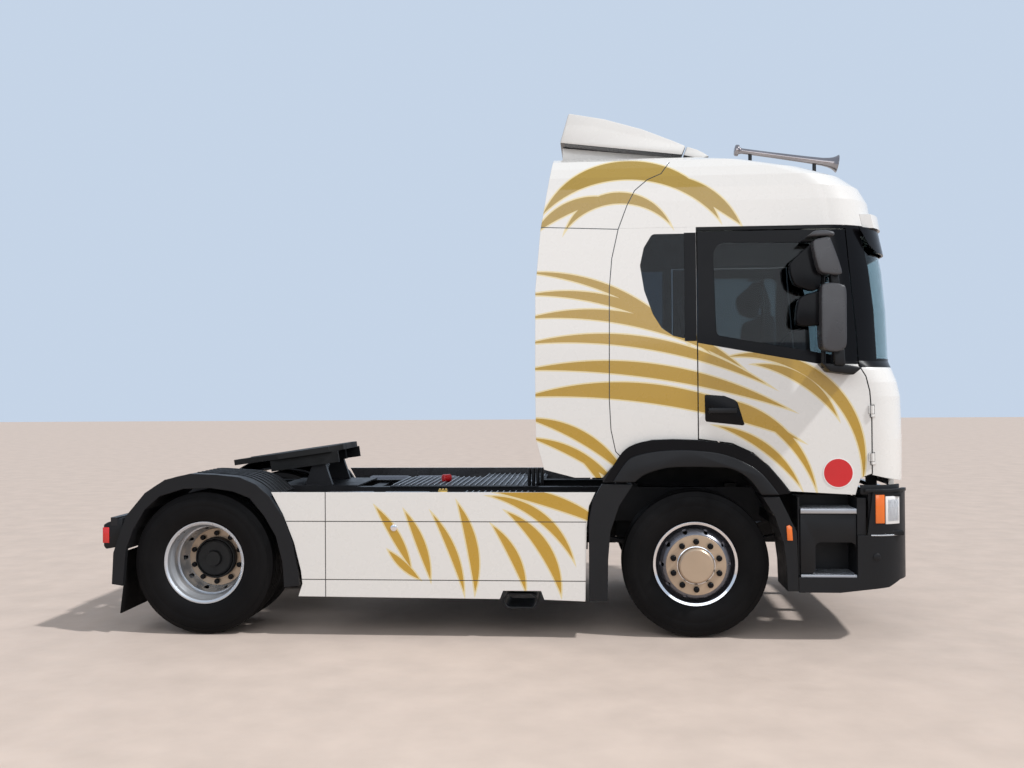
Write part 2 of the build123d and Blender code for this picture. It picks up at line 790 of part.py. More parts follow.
with BuildPart() as cab_nose:
    add(cab_front)
    for about in (hinge_rooms.part, mirror(hinge_rooms.part, about=Plane.XZ)):
        add(about, mode=Mode.SUBTRACT)
    for lugs in (door_lugs.part, mirror(door_lugs.part, about=Plane.XZ)):
        add(lugs)
    add(lid_bar(465, 535, 32), mode=Mode.SUBTRACT)
    add(lid_bar(535, 550, 12))
    for side in (-1, 1):
        with Locations((FRONT_AXLE_X + LID_HINGE_X - 8, side * 542.5, LID_HINGE_Z + 14)):
            Box(32, 15, 28)
    add(lid_bar(470, 550, 6))
    add(slab(GRILLE, GRILLE_LOW, 1105, [0, 4000, 4000, 0, 0, 4000, 4000, 0]))
    with Locations((FRONT_AXLE_X + 1490, 0, GRILLE_LOW + 60), (FRONT_AXLE_X + 1490, 0, GRILLE_LOW + 125)):
        Box(200, 2 * GRILLE_HALF - 120, 34, mode=Mode.SUBTRACT)
save(cab_nose.part, "cab_front")

screen_hole = block((1100, -SCREEN_HALF, SCREEN_LOW), (1700, SCREEN_HALF, SCREEN_HIGH))
frame_zone = block((DOOR_REAR, -1400, COWL_Z), (1700, 1400, ROOF_Z))
screen_frame = cut_from(cab_shell.part, frame_zone, [screen_hole, *door_holes])
save(screen_frame, "screen_frame")
windscreen = cut_from(pane_layer.part, screen_hole)
save(Compound(children=[*windscreen.solids(), *both_sides(quarter_glass).solids()]), "cab_glass")

# Cab floor with the firewall and the arms of the tilt hinge

FLOOR_Z = 1415
FLOOR_T = 45
FIREWALL_X = 1352
TILT_ARM_Y = 456
TILT_ARM_T = 64
TILT_ARM_HALF = 45
TILT_PIN_R = 20
with BuildPart() as cab_floor:
    add(block((CAB_REAR, -1300, FLOOR_Z), (DOOR_REAR, 1300, FLOOR_Z + FLOOR_T)))
    add(block((DOOR_REAR, -BODY_SPLIT, FLOOR_Z), (FIREWALL_X, BODY_SPLIT, FLOOR_Z + FLOOR_T)))
    add(block((FIREWALL_X - 20, -1300, FLOOR_Z), (FIREWALL_X, 1300, COWL_Z)))
    add(inner, mode=Mode.INTERSECT)
    add(block((1300, -900, 1300), (1400, 900, FLOOR_Z)))
    for side in (-1, 1):
        arm_y = side * (TILT_ARM_Y + TILT_ARM_T / 2)
        add(
            block(
                (TILT_X - TILT_ARM_HALF, arm_y - TILT_ARM_T / 2, TILT_Z),
                (TILT_X + TILT_ARM_HALF - 20, arm_y + TILT_ARM_T / 2, 1300),
            )
        )
        eye_low, eye_high = arm_y - TILT_ARM_T / 2, arm_y + TILT_ARM_T / 2
        add(rod((TILT_X, eye_low, TILT_Z), (TILT_X, eye_high, TILT_Z), TILT_ARM_HALF))
    with Locations(Location((FRONT_AXLE_X + TILT_X, 0, TILT_Z), (90, 0, 0))):
        Cylinder(TILT_PIN_R + RUN_CLEARANCE, 1100, mode=Mode.SUBTRACT)
save(cab_floor.part, "cab_floor")

# Arches: the tops ride with the cab, the lower pieces and the rear guards stand on the frame

ARCH_LIP = [
    (-430, 1110),
    (-355, 1172),
    (-203, 1218),
    (-24, 1225),
    (246, 1211),
    (364, 1142),
    (452, 1022),
]


def grown(outline, centre_x, amount):
    """Outline points moved away from a wheel's centre."""
    centre = Vector(centre_x, WHEEL_Z)
    moved = [Vector(*p) + (Vector(*p) - centre).normalized() * amount for p in outline]
    return [(p.X, p.Y) for p in moved]


def band(outline, centre_x, thickness, low_y, high_y):
    """A curved sheet over a wheel, its inner face on the outline."""
    return prism([*grown(outline, centre_x, thickness), *reversed(outline)], low_y, high_y)


with BuildPart() as arch_top:
    add(prism([(571, 1022), *ARCH_EDGE, (-650, 1110), *ARCH_LIP], ARCH_Y - 85, ARCH_Y))
    add(band(ARCH_LIP, 0, ARCH_SKIN, ARCH_INNER_Y, ARCH_Y - 80))
    add(block((-200, -ARCH_INNER_Y - 40, 1226), (100, -ARCH_INNER_Y, FLOOR_Z)))
save(both_sides(arch_top.part), "arch_tops")

GUARD_FRONT = [(457, 1006), (540, 872), (597, 691), (618, 520), (623, 354)]
GUARD_FRONT_OUT = [(698, 355), (687, 767), (571, 1008)]
GUARD_REAR = [(-438, 1094), (-537, 944), (-599, 763), (-616, 564), (-621, 275)]
GUARD_REAR_OUT = [(-752, 274), (-750, 837), (-724, 975), (-658, 1096)]
with BuildPart() as front_guard:
    add(prism([*GUARD_FRONT, *GUARD_FRONT_OUT], ARCH_Y - LIP_T, ARCH_Y))
    add(band(GUARD_FRONT, 0, ARCH_SKIN, ARCH_INNER_Y, ARCH_Y - LIP_T))
    add(block((566, -ARCH_Y + LIP_T, 780), (640, -RAIL_Y, 840)))
with BuildPart() as middle_guard:
    add(prism([*GUARD_REAR, *GUARD_REAR_OUT], ARCH_Y - LIP_T, ARCH_Y))
    add(band(GUARD_REAR, 0, ARCH_SKIN, ARCH_INNER_Y, ARCH_Y - LIP_T))
    add(block((-700, -ARCH_Y + LIP_T, 830), (-610, -RAIL_Y, 890)))
arch_guards = [*both_sides(front_guard.part).solids(), *both_sides(middle_guard.part).solids()]
save(Compound(children=arch_guards), "arch_guards")

FENDER = [
    (-4144, 357),
    (-4118, 622),
    (-4062, 768),
    (-3974, 913),
    (-3862, 1010),
    (-3687, 1063),
    (-3490, 1070),
    (-3318, 1045),
    (-3195, 998),
    (-3086, 867),
    (-3002, 723),
    (-2953, 532),
    (-2942, 355),
]
FENDER_OUT = [
    (-2830, 367),
    (-2844, 474),
    (-2879, 676),
    (-2951, 867),
    (-3048, 1010),
    (-3146, 1094),
    (-3268, 1147),
    (-3441, 1165),
    (-3638, 1173),
    (-3824, 1129),
    (-3974, 1033),
    (-4117, 865),
    (-4213, 598),
    (-4225, 369),
]
FENDER_IN_Y = 610
with BuildPart() as rear_fender:
    add(prism([*FENDER, *FENDER_OUT], ARCH_Y - LIP_T, ARCH_Y))
    add(band(FENDER[1:-1], REAR, 14, FENDER_IN_Y, ARCH_Y - LIP_T))
    for bracket_x in (-4010, -3085):
        add(block((bracket_x - 25, -FENDER_IN_Y, 860), (bracket_x + 25, -RAIL_Y, 910)))
        add(block((bracket_x - 25, -FENDER_IN_Y - 60, 860), (bracket_x + 25, -FENDER_IN_Y, 910)))
save(both_sides(rear_fender.part), "rear_fenders")

FLAP = [(-4144, 600), (-4144, 357), (-4170, 150), (-4182, 150), (-4156, 357), (-4156, 600)]
with BuildPart() as mud_flap:
    add(prism(FLAP, FENDER_IN_Y, ARCH_Y - LIP_T))
save(both_sides(mud_flap.part), "mud_flaps")

# Tail lamps

with BuildPart() as tail_lamp:
    with Locations((FRONT_AXLE_X + RAIL_REAR - 91, -1010, 740)):
        Box(62, 420, 200)
save(both_sides(tail_lamp.part), "tail_lamps")

# Side skirts with the exhaust box and the tanks behind them

SKIRT = [
    (-3037, SKIRT_TOP),
    (-2951, 880),
    (-2870, 675),
    (-2820, 473),
    (-2810, 380),
    (-2840, SKIRT_BOTTOM),
    (-1384, SKIRT_BOTTOM - 8),
    (-1360, 341),
    (-1090, 341),
    (-1068, SKIRT_BOTTOM - 10),
    (-778, SKIRT_BOTTOM - 20),
    (-766, 791),
    (-748, 943),
    (-704, SKIRT_TOP),
]
skirt = prism(SKIRT, SKIRT_Y - SKIRT_T, SKIRT_Y)
save(both_sides(skirt), "side_skirts")

BOX_IN = RAIL_Y + 35
OUTLET_Z = 266
with BuildPart() as exhaust_box:
    add(block((-1560, -SKIRT_Y + SKIRT_T, 400), (-900, -BOX_IN, 900)))
    for foot_x in (-1500, -1040):
        add(block((foot_x, -BOX_IN, 780), (foot_x + 80, -RAIL_Y, 880)))
    with BuildSketch(Plane(origin=(FRONT_AXLE_X - 1238, -900, OUTLET_Z), x_dir=(1, 0, 0), z_dir=(0, -1, 0))):
        SlotOverall(246, 106)
        SlotOverall(226, 86, mode=Mode.SUBTRACT)
    extrude(amount=SKIRT_Y - SKIRT_T - 900)
    add(block((-1290, -1000, OUTLET_Z + 50), (-1190, -900, 400)))
save(exhaust_box.part, "exhaust_box")

with BuildPart() as fuel_tank:
    add(block((-2300, BOX_IN, 380), (-900, SKIRT_Y - SKIRT_T, 930)))
    fillet(fuel_tank.edges().filter_by(Axis.X), radius=80)
    for foot_x in (-2200, -1100):
        add(block((foot_x, RAIL_Y, 780), (foot_x + 80, BOX_IN + 10, 840)))

with BuildPart() as battery_box:
    add(block((-2640, -SKIRT_Y + SKIRT_T, 420), (-1760, -BOX_IN, 860)))
    for foot_x in (-2600, -1880):
        add(block((foot_x, -BOX_IN, 760), (foot_x + 80, -RAIL_Y, 840)))
save(Compound(children=[*fuel_tank.solids(), *battery_box.solids()]), "tanks")

# Catwalk behind the cab, with the hose carrier

with BuildPart() as catwalk:
    add(block((-2350, -600, RAIL_TOP), (-1150, 600, RAIL_TOP + 6)))
    for rib in range(9):
        add(block((-2300 + rib * 130, -560, RAIL_TOP + 6), (-2260 + rib * 130, 560, RAIL_TOP + 12)))
with BuildPart() as hose_carrier:
    for side in (-1, 1):
        with Locations((FRONT_AXLE_X - 1110, side * 345, (RAIL_TOP + 1700) / 2)):
            Box(40, 40, 1700 - RAIL_TOP)
    add(block((-1130, -325, 1640), (-1090, 325, 1700)))
    add(block((-1290, -160, 1330), (-1130, 160, 1460)))
    add(block((-1130, -325, 1370), (-1110, 325, 1420)))
save(Compound(children=[*catwalk.solids(), *hose_carrier.solids()]), "catwalk")

# Bumper, headlamps and the steps, on brackets from the frame

BUMPER_TOP = 742
BUMPER_LOW = 346
BUMPER_T = 30
FASCIA = [(700, -1253), (1470, -1253), (1512, -420), (1512, 420), (1470, 1253), (700, 1253)]
FASCIA_RADII = [0, 250, 4000, 4000, 250, 0]
FASCIA_IN = [
    (600, -1253 + BUMPER_T),
    (1470 - BUMPER_T, -1253 + BUMPER_T),
    (1512 - BUMPER_T, -420),
    (1512 - BUMPER_T, 420),
    (1470 - BUMPER_T, 1253 - BUMPER_T),
    (600, 1253 - BUMPER_T),
]
FASCIA_IN_RADII = [0, 220, 4000, 4000, 220, 0]
POCKET_FRONT = 1100
POCKET_REAR = 712
TREAD_LOW, TREAD_HIGH = 466, 923
with BuildPart() as bumper:
    add(slab(FASCIA, BUMPER_LOW, BUMPER_TOP, FASCIA_RADII))
    add(slab(FASCIA_IN, BUMPER_LOW - 10, BUMPER_TOP + 10, FASCIA_IN_RADII), mode=Mode.SUBTRACT)
    lower_edge = [(600, 300), (1314, 386), (1403, 432), (1600, 445), (1600, 300)]
    add(prism(lower_edge, -1400, 1400), mode=Mode.SUBTRACT)
    for side in (-1, 1):
        with Locations((FRONT_AXLE_X + 850, side * 1230, 750)):
            Box(500, 120, 596, mode=Mode.SUBTRACT)
        with Locations((FRONT_AXLE_X + 1290, side * 345, 712)):
            Box(400, 80, 46)
save(bumper.part, "bumper")

HEADLAMP = [(1167, 748), (1600, 748), (1600, 1030), (1422, 1037), (1207, 1053)]
with BuildPart() as headlamp:
    add(slab(FASCIA, BUMPER_TOP, 1060, FASCIA_RADII))
    add(slab(FASCIA_IN, BUMPER_TOP - 10, 1070, FASCIA_IN_RADII), mode=Mode.SUBTRACT)
    add(prism([(1167, BUMPER_TOP), (1600, BUMPER_TOP), *HEADLAMP[2:]], 760, 1400), mode=Mode.INTERSECT)
    add(block((1180, -1225, BUMPER_TOP), (1420, -780, 770)))
    add(block((1180, -1225, 1010), (1400, -780, 1030)))
    add(block((1180, -1225, BUMPER_TOP), (1200, -780, 1030)))
save(both_sides(headlamp.part), "headlamps")

STEP_IN = 960
with BuildPart() as step_box:
    add(block((POCKET_REAR, -STEP_IN - 20, 440), (POCKET_FRONT + 12, -STEP_IN, 1000)))
    add(block((POCKET_FRONT, -1222, 440), (POCKET_FRONT + 12, -STEP_IN, 1000)))
    add(block((POCKET_REAR - 12, -1222, 440), (POCKET_REAR, -STEP_IN, 1000)))
    add(block((POCKET_REAR, -1222, 440), (POCKET_FRONT, -STEP_IN, 452)))
    add(block((POCKET_REAR, -1244, 455), (POCKET_FRONT, -STEP_IN - 20, TREAD_LOW)))
    add(block((POCKET_REAR, -1222, 450), (POCKET_FRONT, -STEP_IN - 20, TREAD_LOW)))
    add(block((POCKET_REAR, -1244, TREAD_HIGH - 34), (POCKET_FRONT, -STEP_IN - 20, TREAD_HIGH)))
    add(block((POCKET_FRONT, -1240, BUMPER_TOP), (1160, -1210, 1000)))
    add(block((860, -STEP_IN, 780), (960, -RAIL_Y, 860)))
save(both_sides(step_box.part), "step_boxes")

with BuildPart() as tilt_bracket:
    add(block((1080, -TILT_ARM_Y + 6, TILT_Z - 45), (TILT_X, -RAIL_Y, TILT_Z + 45)))
    add(rod((TILT_X, -RAIL_Y, TILT_Z), (TILT_X, -TILT_ARM_Y + 6, TILT_Z), 45))
    add(rod((TILT_X, -RAIL_Y, TILT_Z), (TILT_X, -TILT_ARM_Y - TILT_ARM_T, TILT_Z), TILT_PIN_R))
save(both_sides(tilt_bracket.part), "tilt_brackets")

# Fifth wheel: a plate with a throat that opens rearwards, tilting on two bearing blocks

FIFTH_X = -2930
FIFTH_Z = 1205
FIFTH_REST = 8
KING_R = 25.5
PLATE_LOW, PLATE_TOP = 60, 105
PLATE = [
    (195, -250),
    (120, -430),
    (-300, -430),
    (-723, -250),
    (-723, -170),
    (-330, -KING_R),
    (0, -KING_R),
    (0, KING_R),
    (-330, KING_R),
    (-723, 170),
    (-723, 250),
    (-300, 430),
    (120, 430),
    (195, 250),
]
LEVEL = Plane(origin=(FRONT_AXLE_X + FIFTH_X, 0, FIFTH_Z), x_dir=(1, 0, 0), z_dir=(0, 0, 1))
TILTED = LEVEL.rotated((0, -FIFTH_REST, 0))
with BuildPart() as fifth_plate:
    with BuildSketch(TILTED.offset(PLATE_LOW)):
        with BuildLine():
            Polyline(*PLATE, close=True)
        make_face()
        Circle(KING_R, mode=Mode.SUBTRACT)
    extrude(amount=PLATE_TOP - PLATE_LOW)
    with BuildSketch(TILTED.offset(-30)):
        for side in (-1, 1):
            with Locations((0, side * 250)):
                Rectangle(180, 60)
            with Locations((-100, side * 380)):
                Rectangle(560, 20)
    extrude(amount=PLATE_LOW + 30)
    with Locations(Location((FRONT_AXLE_X + FIFTH_X, 0, FIFTH_Z), (90, 0, 0))):
        Cylinder(30 + RUN_CLEARANCE, 640, mode=Mode.SUBTRACT)
save(fifth_plate.part, "fifth_plate")

with BuildPart() as fifth_base:
    add(block((FIFTH_X - 330, -RAIL_Y, RAIL_TOP), (FIFTH_X + 330, RAIL_Y, RAIL_TOP + 12)))
    for side in (-1, 1):
        with BuildSketch(SIDE.offset(side * 310 - 20)):
            with BuildLine():
                Polyline(
                    (FIFTH_X - 110, RAIL_TOP + 12),
                    (FIFTH_X - 45, FIFTH_Z),
                    (FIFTH_X + 45, FIFTH_Z),
                    (FIFTH_X + 110, RAIL_TOP + 12),
                    close=True,
                )
            make_face()
            with Locations((FIFTH_X, FIFTH_Z)):
                Circle(45)
        extrude(amount=40)
        add(rod((FIFTH_X, side * 220, FIFTH_Z), (FIFTH_X, side * 330, FIFTH_Z), 30))
save(fifth_base.part, "fifth_base")

# Roof spoiler, lamp housing over the windscreen, sun visor and horns

SPOILER = [
    (154, 3470),
    (53, 3528),
    (-113, 3587),
    (-340, 3689),
    (-618, 3771),
    (-880, 3817),
    (-948, 3587),
    (-49, 3488),
]
SPOILER_Y = 900
PLINTH_Y = 780
with BuildPart() as roof_spoiler:
    add(prism(SPOILER, -SPOILER_Y, SPOILER_Y))
    for y in (-1, 1):
        with BuildSketch(SIDE.offset(y * SPOILER_Y)):
            with BuildLine():
                Polyline(*SPOILER, close=True)
            make_face()
            offset(amount=-45, kind=Kind.INTERSECTION)
        extrude(amount=y * 90, taper=0)
    with BuildSketch(SIDE.offset(-SPOILER_Y + 60)):
        with BuildLine():
            Polyline(*SPOILER, close=True)
        make_face()
        offset(amount=-24, kind=Kind.INTERSECTION)
    extrude(amount=2 * SPOILER_Y - 120, mode=Mode.SUBTRACT)
    plinth = [(60, ROOF_TOP), (20, 3496), (-930, 3587), (-930, 3483), (-645, ROOF_TOP)]
    add(prism(plinth, -PLINTH_Y, PLINTH_Y))
save(roof_spoiler.part, "roof_spoiler")

with BuildPart() as header:
    add(cab_solid(CAB_REAR, -45))
    add(outer, mode=Mode.SUBTRACT)
    add(prism([(1120, 2892), (1176, 2992), (1500, 2984), (1500, 2892)], -1080, 1080), mode=Mode.INTERSECT)
save(header.part, "header")

with BuildPart() as sun_visor:
    add(cab_solid(CAB_REAR, -30))
    add(cab_solid(CAB_REAR - 10, -18), mode=Mode.SUBTRACT)
    add(
        prism([(1150, 2892), (1500, 2892), (1500, 2715), (1297, 2715), (1227, 2768)], -1400, 1400),
        mode=Mode.INTERSECT,
    )
save(sun_visor.part, "sun_visor")

HORN_Y = 500
with BuildPart() as horn:
    with BuildSketch(Plane(origin=FRONT_AXLE + Vector(382, -HORN_Y, 3600), z_dir=(776, 0, -124))):
        Circle(44)
    with BuildSketch(Plane(origin=FRONT_AXLE + Vector(420, -HORN_Y, 3594), z_dir=(776, 0, -124))):
        Circle(22)
    with BuildSketch(Plane(origin=FRONT_AXLE + Vector(1060, -HORN_Y, 3492), z_dir=(776, 0, -124))):
        Circle(30)
    with BuildSketch(Plane(origin=FRONT_AXLE + Vector(1158, -HORN_Y, 3476), z_dir=(776, 0, -124))):
        Circle(68)
    loft(ruled=True)
    for leg_x, leg_z in ((502, 3410), (985, 3300)):
        add(rod((leg_x, -HORN_Y, leg_z), (leg_x, -HORN_Y, 3580 - (leg_x - 502) * 0.16), 14))
    add(outer, mode=Mode.SUBTRACT)
save(both_sides(horn.part), "horns")

# Mirrors on brackets from the doors

with BuildPart() as mirror_unit:
    add(prism([(815, 2010), (980, 2040), (965, 2457), (830, 2440)], 1330, 1490, radius=[50, 50, 50, 50]))
    add(prism([(765, 2741), (881, 2759), (949, 2522), (819, 2544)], 1330, 1490, radius=[40, 40, 40, 40]))
    add(prism([(729, 2785), (914, 2785), (914, 2818), (729, 2818)], 1210, 1480, radius=12))
    add(rod((870, -1300, 1960), (870, -1300, 2800), 16))
    add(rod((870, -1300, 2400), (870, -1360, 2400), 14))
    add(rod((870, -1300, 2640), (870, -1360, 2640), 14))
    add(prism([(840, 1935), (895, 1872), (1050, 1850), (1110, 1905), (968, 1926)], 1205, 1310, radius=8))
    add(rod((870, -1300, 1900), (870, -1300, 1960), 16))
    add(door_shell, mode=Mode.SUBTRACT)
save_pair(mirror_unit.part, "mirror")

# Cabin fittings

SEAT_Y = 580
with BuildPart() as seat:
    add(block((120, -SEAT_Y - 240, FLOOR_Z + FLOOR_T), (560, -SEAT_Y + 240, 1760)))
    add(block((120, -SEAT_Y - 250, 1760), (640, -SEAT_Y + 250, 1880)))
    add(prism([(120, 1880), (250, 1880), (150, 2560), (40, 2560)], SEAT_Y - 240, SEAT_Y + 240, radius=30))
with BuildPart() as bunk:
    add(block((-590, -1080, FLOOR_Z + FLOOR_T), (0, 1080, 1850)))
save(Compound(children=[*both_sides(seat.part).solids(), *bunk.solids()]), "seats_and_bunk")
with BuildPart() as dashboard:
    add(prism([(980, 2010), (1332, 1960), (1332, 1500), (1180, 1500), (980, 1880)], -890, 890))
    add(rod((1050, 580, 1900), (850, 580, 2068), 30))
    with BuildPart(Plane(origin=FRONT_AXLE + Vector(850, 580, 2068), z_dir=(-190, 0, 160))):
        Torus(220, 16)
        Box(430, 40, 14)
save(dashboard.part, "dashboard")
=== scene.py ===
"""Two-axle tractor unit with a sleeper cab: finishes, wheels, lamps, mirrors, deck, trim and the studio.

Metres: +X forward, +Y the truck's left, +Z up. Side-view places are counted from the front axle.
"""

import math

import bpy
from mathutils import Matrix, Vector


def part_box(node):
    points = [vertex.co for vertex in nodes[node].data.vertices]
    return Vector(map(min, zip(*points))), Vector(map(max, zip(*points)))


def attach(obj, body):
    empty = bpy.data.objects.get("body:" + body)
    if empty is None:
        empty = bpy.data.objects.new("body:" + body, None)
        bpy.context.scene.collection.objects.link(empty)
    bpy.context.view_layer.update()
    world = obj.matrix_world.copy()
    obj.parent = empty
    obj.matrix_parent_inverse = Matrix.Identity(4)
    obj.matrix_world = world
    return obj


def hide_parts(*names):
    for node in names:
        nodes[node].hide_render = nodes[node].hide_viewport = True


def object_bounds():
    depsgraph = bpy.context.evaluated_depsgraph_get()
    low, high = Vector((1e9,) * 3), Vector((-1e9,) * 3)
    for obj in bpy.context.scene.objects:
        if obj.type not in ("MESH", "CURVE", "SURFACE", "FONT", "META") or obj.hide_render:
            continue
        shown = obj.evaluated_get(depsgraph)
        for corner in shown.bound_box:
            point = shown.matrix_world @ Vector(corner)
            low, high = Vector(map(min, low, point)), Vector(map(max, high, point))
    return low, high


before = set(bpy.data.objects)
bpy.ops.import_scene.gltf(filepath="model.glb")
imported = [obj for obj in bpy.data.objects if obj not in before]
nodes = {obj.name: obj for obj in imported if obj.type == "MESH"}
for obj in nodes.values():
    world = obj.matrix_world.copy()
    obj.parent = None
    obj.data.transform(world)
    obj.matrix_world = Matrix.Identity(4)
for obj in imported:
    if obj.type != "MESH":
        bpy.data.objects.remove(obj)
cad_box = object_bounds()

front_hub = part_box("front_hub_right")
rear_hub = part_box("rear_hub_right")
FRONT_AXLE_X = (front_hub[0].x + front_hub[1].x) / 2
REAR_AXLE_X = (rear_hub[0].x + rear_hub[1].x) / 2
WHEEL_Z = (front_hub[0].z + front_hub[1].z) / 2
SIDES = (("right", -1), ("left", 1))

# How far out from the truck's middle its parts stand
FRONT_TYRE_Y = 1.020
FRONT_RIM_Y = 1.195
OUTER_TYRE_Y = 1.085
INNER_TYRE_Y = 0.735
REAR_RIM_Y = 0.928
RAIL_Y = 0.384
SKIN_Y = 1.2155
SKIRT_Y = 1.245
ARCH_Y = 1.255


def at(x, y, z):
    """A place counted from the front axle along the truck."""
    return (FRONT_AXLE_X + x, y, z)


# Ways of building a finish


def set_socket(material, socket, value):
    """Gives a socket of a material or the world a plain value, or links an output to it."""
    if isinstance(value, bpy.types.NodeSocket):
        material.node_tree.links.new(value, socket)
    else:
        socket.default_value = value


def math_node(material, operation, *values, clamp=False):
    """One step of arithmetic on plain values or outputs."""
    node = material.node_tree.nodes.new("ShaderNodeMath")
    node.operation = operation
    node.use_clamp = clamp
    for socket, value in zip(node.inputs, values):
        set_socket(material, socket, value)
    return node.outputs[0]


def vector_node(material, operation, *values):
    """One step of arithmetic on places, with all its outputs."""
    node = material.node_tree.nodes.new("ShaderNodeVectorMath")
    node.operation = operation
    for socket, value in zip(node.inputs, values):
        set_socket(material, socket, value)
    return node


def mixed(material, share, under, over):
    """One colour laid over another by a share from 0 to 1."""
    node = material.node_tree.nodes.new("ShaderNodeMixRGB")
    set_socket(material, node.inputs["Fac"], share)
    set_socket(material, node.inputs["Color1"], (*under, 1) if isinstance(under, tuple) else under)
    set_socket(material, node.inputs["Color2"], (*over, 1) if isinstance(over, tuple) else over)
    return node.outputs[0]


def object_place(material, output="Object"):
    """The place on the truck, or the way the surface faces there."""
    return material.node_tree.nodes.new("ShaderNodeTexCoord").outputs[output]


def drift(material, scale, low, high, stretch=(1, 1, 1)):
    """A value that drifts over the surface between two ends."""
    tree = material.node_tree.nodes
    cloud = tree.new("ShaderNodeTexNoise")
    cloud.inputs["Scale"].default_value = scale
    cloud.inputs["Detail"].default_value = 5
    place = vector_node(material, "MULTIPLY", object_place(material), stretch).outputs[0]
    set_socket(material, cloud.inputs["Vector"], place)
    span = tree.new("ShaderNodeMapRange")
    set_socket(material, span.inputs["Value"], cloud.outputs[0])
    for socket, value in (("From Min", 0.3), ("From Max", 0.7), ("To Min", low), ("To Max", high)):
        span.inputs[socket].default_value = value
    return span.outputs["Result"]


def shader(name, colour, roughness=0.4, metallic=0.0, coat=0.0, specular=0.5, patchy=0.1, edge=0.0):
    """A finish whose colour and gloss drift a little, with its sharp edges softened by a small radius."""
    material = bpy.data.materials.new(name)
    material.use_nodes = True
    surface = material.node_tree.nodes["Principled BSDF"]
    surface.inputs["Base Color"].default_value = (*colour, 1)
    surface.inputs["Metallic"].default_value = metallic
    surface.inputs["Coat Weight"].default_value = coat
    surface.inputs["Coat Roughness"].default_value = 0.06
    surface.inputs["Specular IOR Level"].default_value = specular
    tone = vector_node(material, "SCALE", colour)
    set_socket(material, tone.inputs["Scale"], drift(material, 3.0, 1 - patchy, 1 + patchy))
    set_socket(material, surface.inputs["Base Color"], tone.outputs[0])
    gloss = math_node(material, "MULTIPLY", drift(material, 11.0, 0.85, 1.15), roughness)
    set_socket(material, surface.inputs["Roughness"], gloss)
    if edge:
        soften = material.node_tree.nodes.new("ShaderNodeBevel")
        soften.samples = 4
        soften.inputs["Radius"].default_value = edge
        for socket in ("Normal", "Coat Normal"):
            set_socket(material, surface.inputs[socket], soften.outputs[0])
    return material


def add_bump(material, height, strength, distance=0.001):
    """Raises a finish by a height, over the softened edges if it has them."""
    surface = material.node_tree.nodes["Principled BSDF"]
    bump = material.node_tree.nodes.new("ShaderNodeBump")
    bump.inputs["Strength"].default_value = strength
    bump.inputs["Distance"].default_value = distance
    if surface.inputs["Normal"].links:
        set_socket(material, bump.inputs["Normal"], surface.inputs["Normal"].links[0].from_socket)
    set_socket(material, bump.inputs["Height"], height)
    set_socket(material, surface.inputs["Normal"], bump.outputs["Normal"])
    return material


def grained(material, scale, strength, stretch=(1, 1, 1)):
    """A fine irregular grain, stretched along an axis where a stretch is given."""
    return add_bump(material, drift(material, scale, 0.0, 1.0, stretch), strength)


def ribbed(material, axis, pitch, strength, distance=0.004):
    """Straight ribs that stand across one axis of the truck."""
    split = material.node_tree.nodes.new("ShaderNodeSeparateXYZ")
    set_socket(material, split.inputs[0], object_place(material))
    turns = math_node(material, "MULTIPLY", split.outputs[axis], math.tau / pitch)
    return add_bump(material, math_node(material, "SINE", turns), strength, distance)


# The paint: white, with gold blades and the seams between panels, and dark grey on the inside: trim in the
# cab, painted shade on the inner sides of the fairings and skirts

WHITE = (0.73, 0.725, 0.71)
GOLD_HIGH = (0.36, 0.235, 0.03)
GOLD_LOW = (0.50, 0.29, 0.02)
CREAM = (0.72, 0.62, 0.36)
TRIM_AND_SHADE_GREY = (0.045, 0.045, 0.05)
SEAM_BLACK = (0.006, 0.006, 0.007)
EDGE_LINE = 0.010
SEAM_HALF = 0.0032
# How far a face turns to the side before it takes the blades and seams, and inwards before it is dark grey
# trim and painted shade
SIDE_FACING = 0.3
INWARD = -0.02

# Gold blades in side view: from a tip to a tip, with the rise of the two arcs that bound it
CAB_BLADES = [
    # x0, z0, x1, z1, outer rise, inner rise
    (-1.180, 2.600, -0.060, 2.100, 0.150, 0.095),
    (-1.180, 2.440, 0.120, 2.005, 0.180, 0.108),
    (-1.190, 2.270, 0.330, 1.910, 0.205, 0.118),
    (-1.190, 2.090, 0.500, 1.790, 0.190, 0.108),
    (-1.190, 1.905, 0.640, 1.620, 0.175, 0.075),
    (-1.190, 1.715, 0.720, 1.400, 0.230, 0.095),
    (-1.180, 1.560, -0.480, 1.150, 0.120, 0.040),
    (-1.150, 1.420, -0.560, 1.100, 0.080, 0.020),
    (-0.860, 1.330, -0.640, 1.060, 0.050, 0.006),
    (-1.060, 3.020, 0.180, 2.960, 0.420, 0.270),
    (-0.900, 2.900, -0.160, 2.930, 0.250, 0.170),
    (-1.120, 2.880, -0.560, 3.120, 0.110, 0.030),
    (-0.260, 3.290, 0.330, 2.920, 0.110, 0.010),
    (0.230, 1.985, 1.150, 1.120, 0.360, 0.280),
    (0.420, 1.930, 0.980, 1.560, 0.120, 0.055),
    (0.060, 1.700, 0.830, 1.060, 0.190, 0.130),
    (0.160, 1.500, 0.720, 1.080, 0.100, 0.045),
]
SKIRT_BLADES = [
    (-1.500, 1.060, -0.600, 0.780, 0.110, 0.020),
    (-1.440, 1.010, -0.860, 0.560, 0.130, 0.065),
    (-1.330, 0.900, -0.950, 0.320, 0.120, 0.035),
    (-1.430, 0.800, -1.200, 0.340, 0.070, 0.006),
    (-1.680, 0.960, -1.560, 0.330, 0.080, 0.006),
    (-1.860, 0.880, -1.640, 0.330, 0.060, 0.006),
    (-2.060, 0.900, -1.880, 0.420, 0.055, -0.006),
    (-2.270, 0.930, -2.020, 0.500, 0.050, -0.012),
    (-2.180, 0.620, -1.960, 0.420, 0.020, -0.030),
]
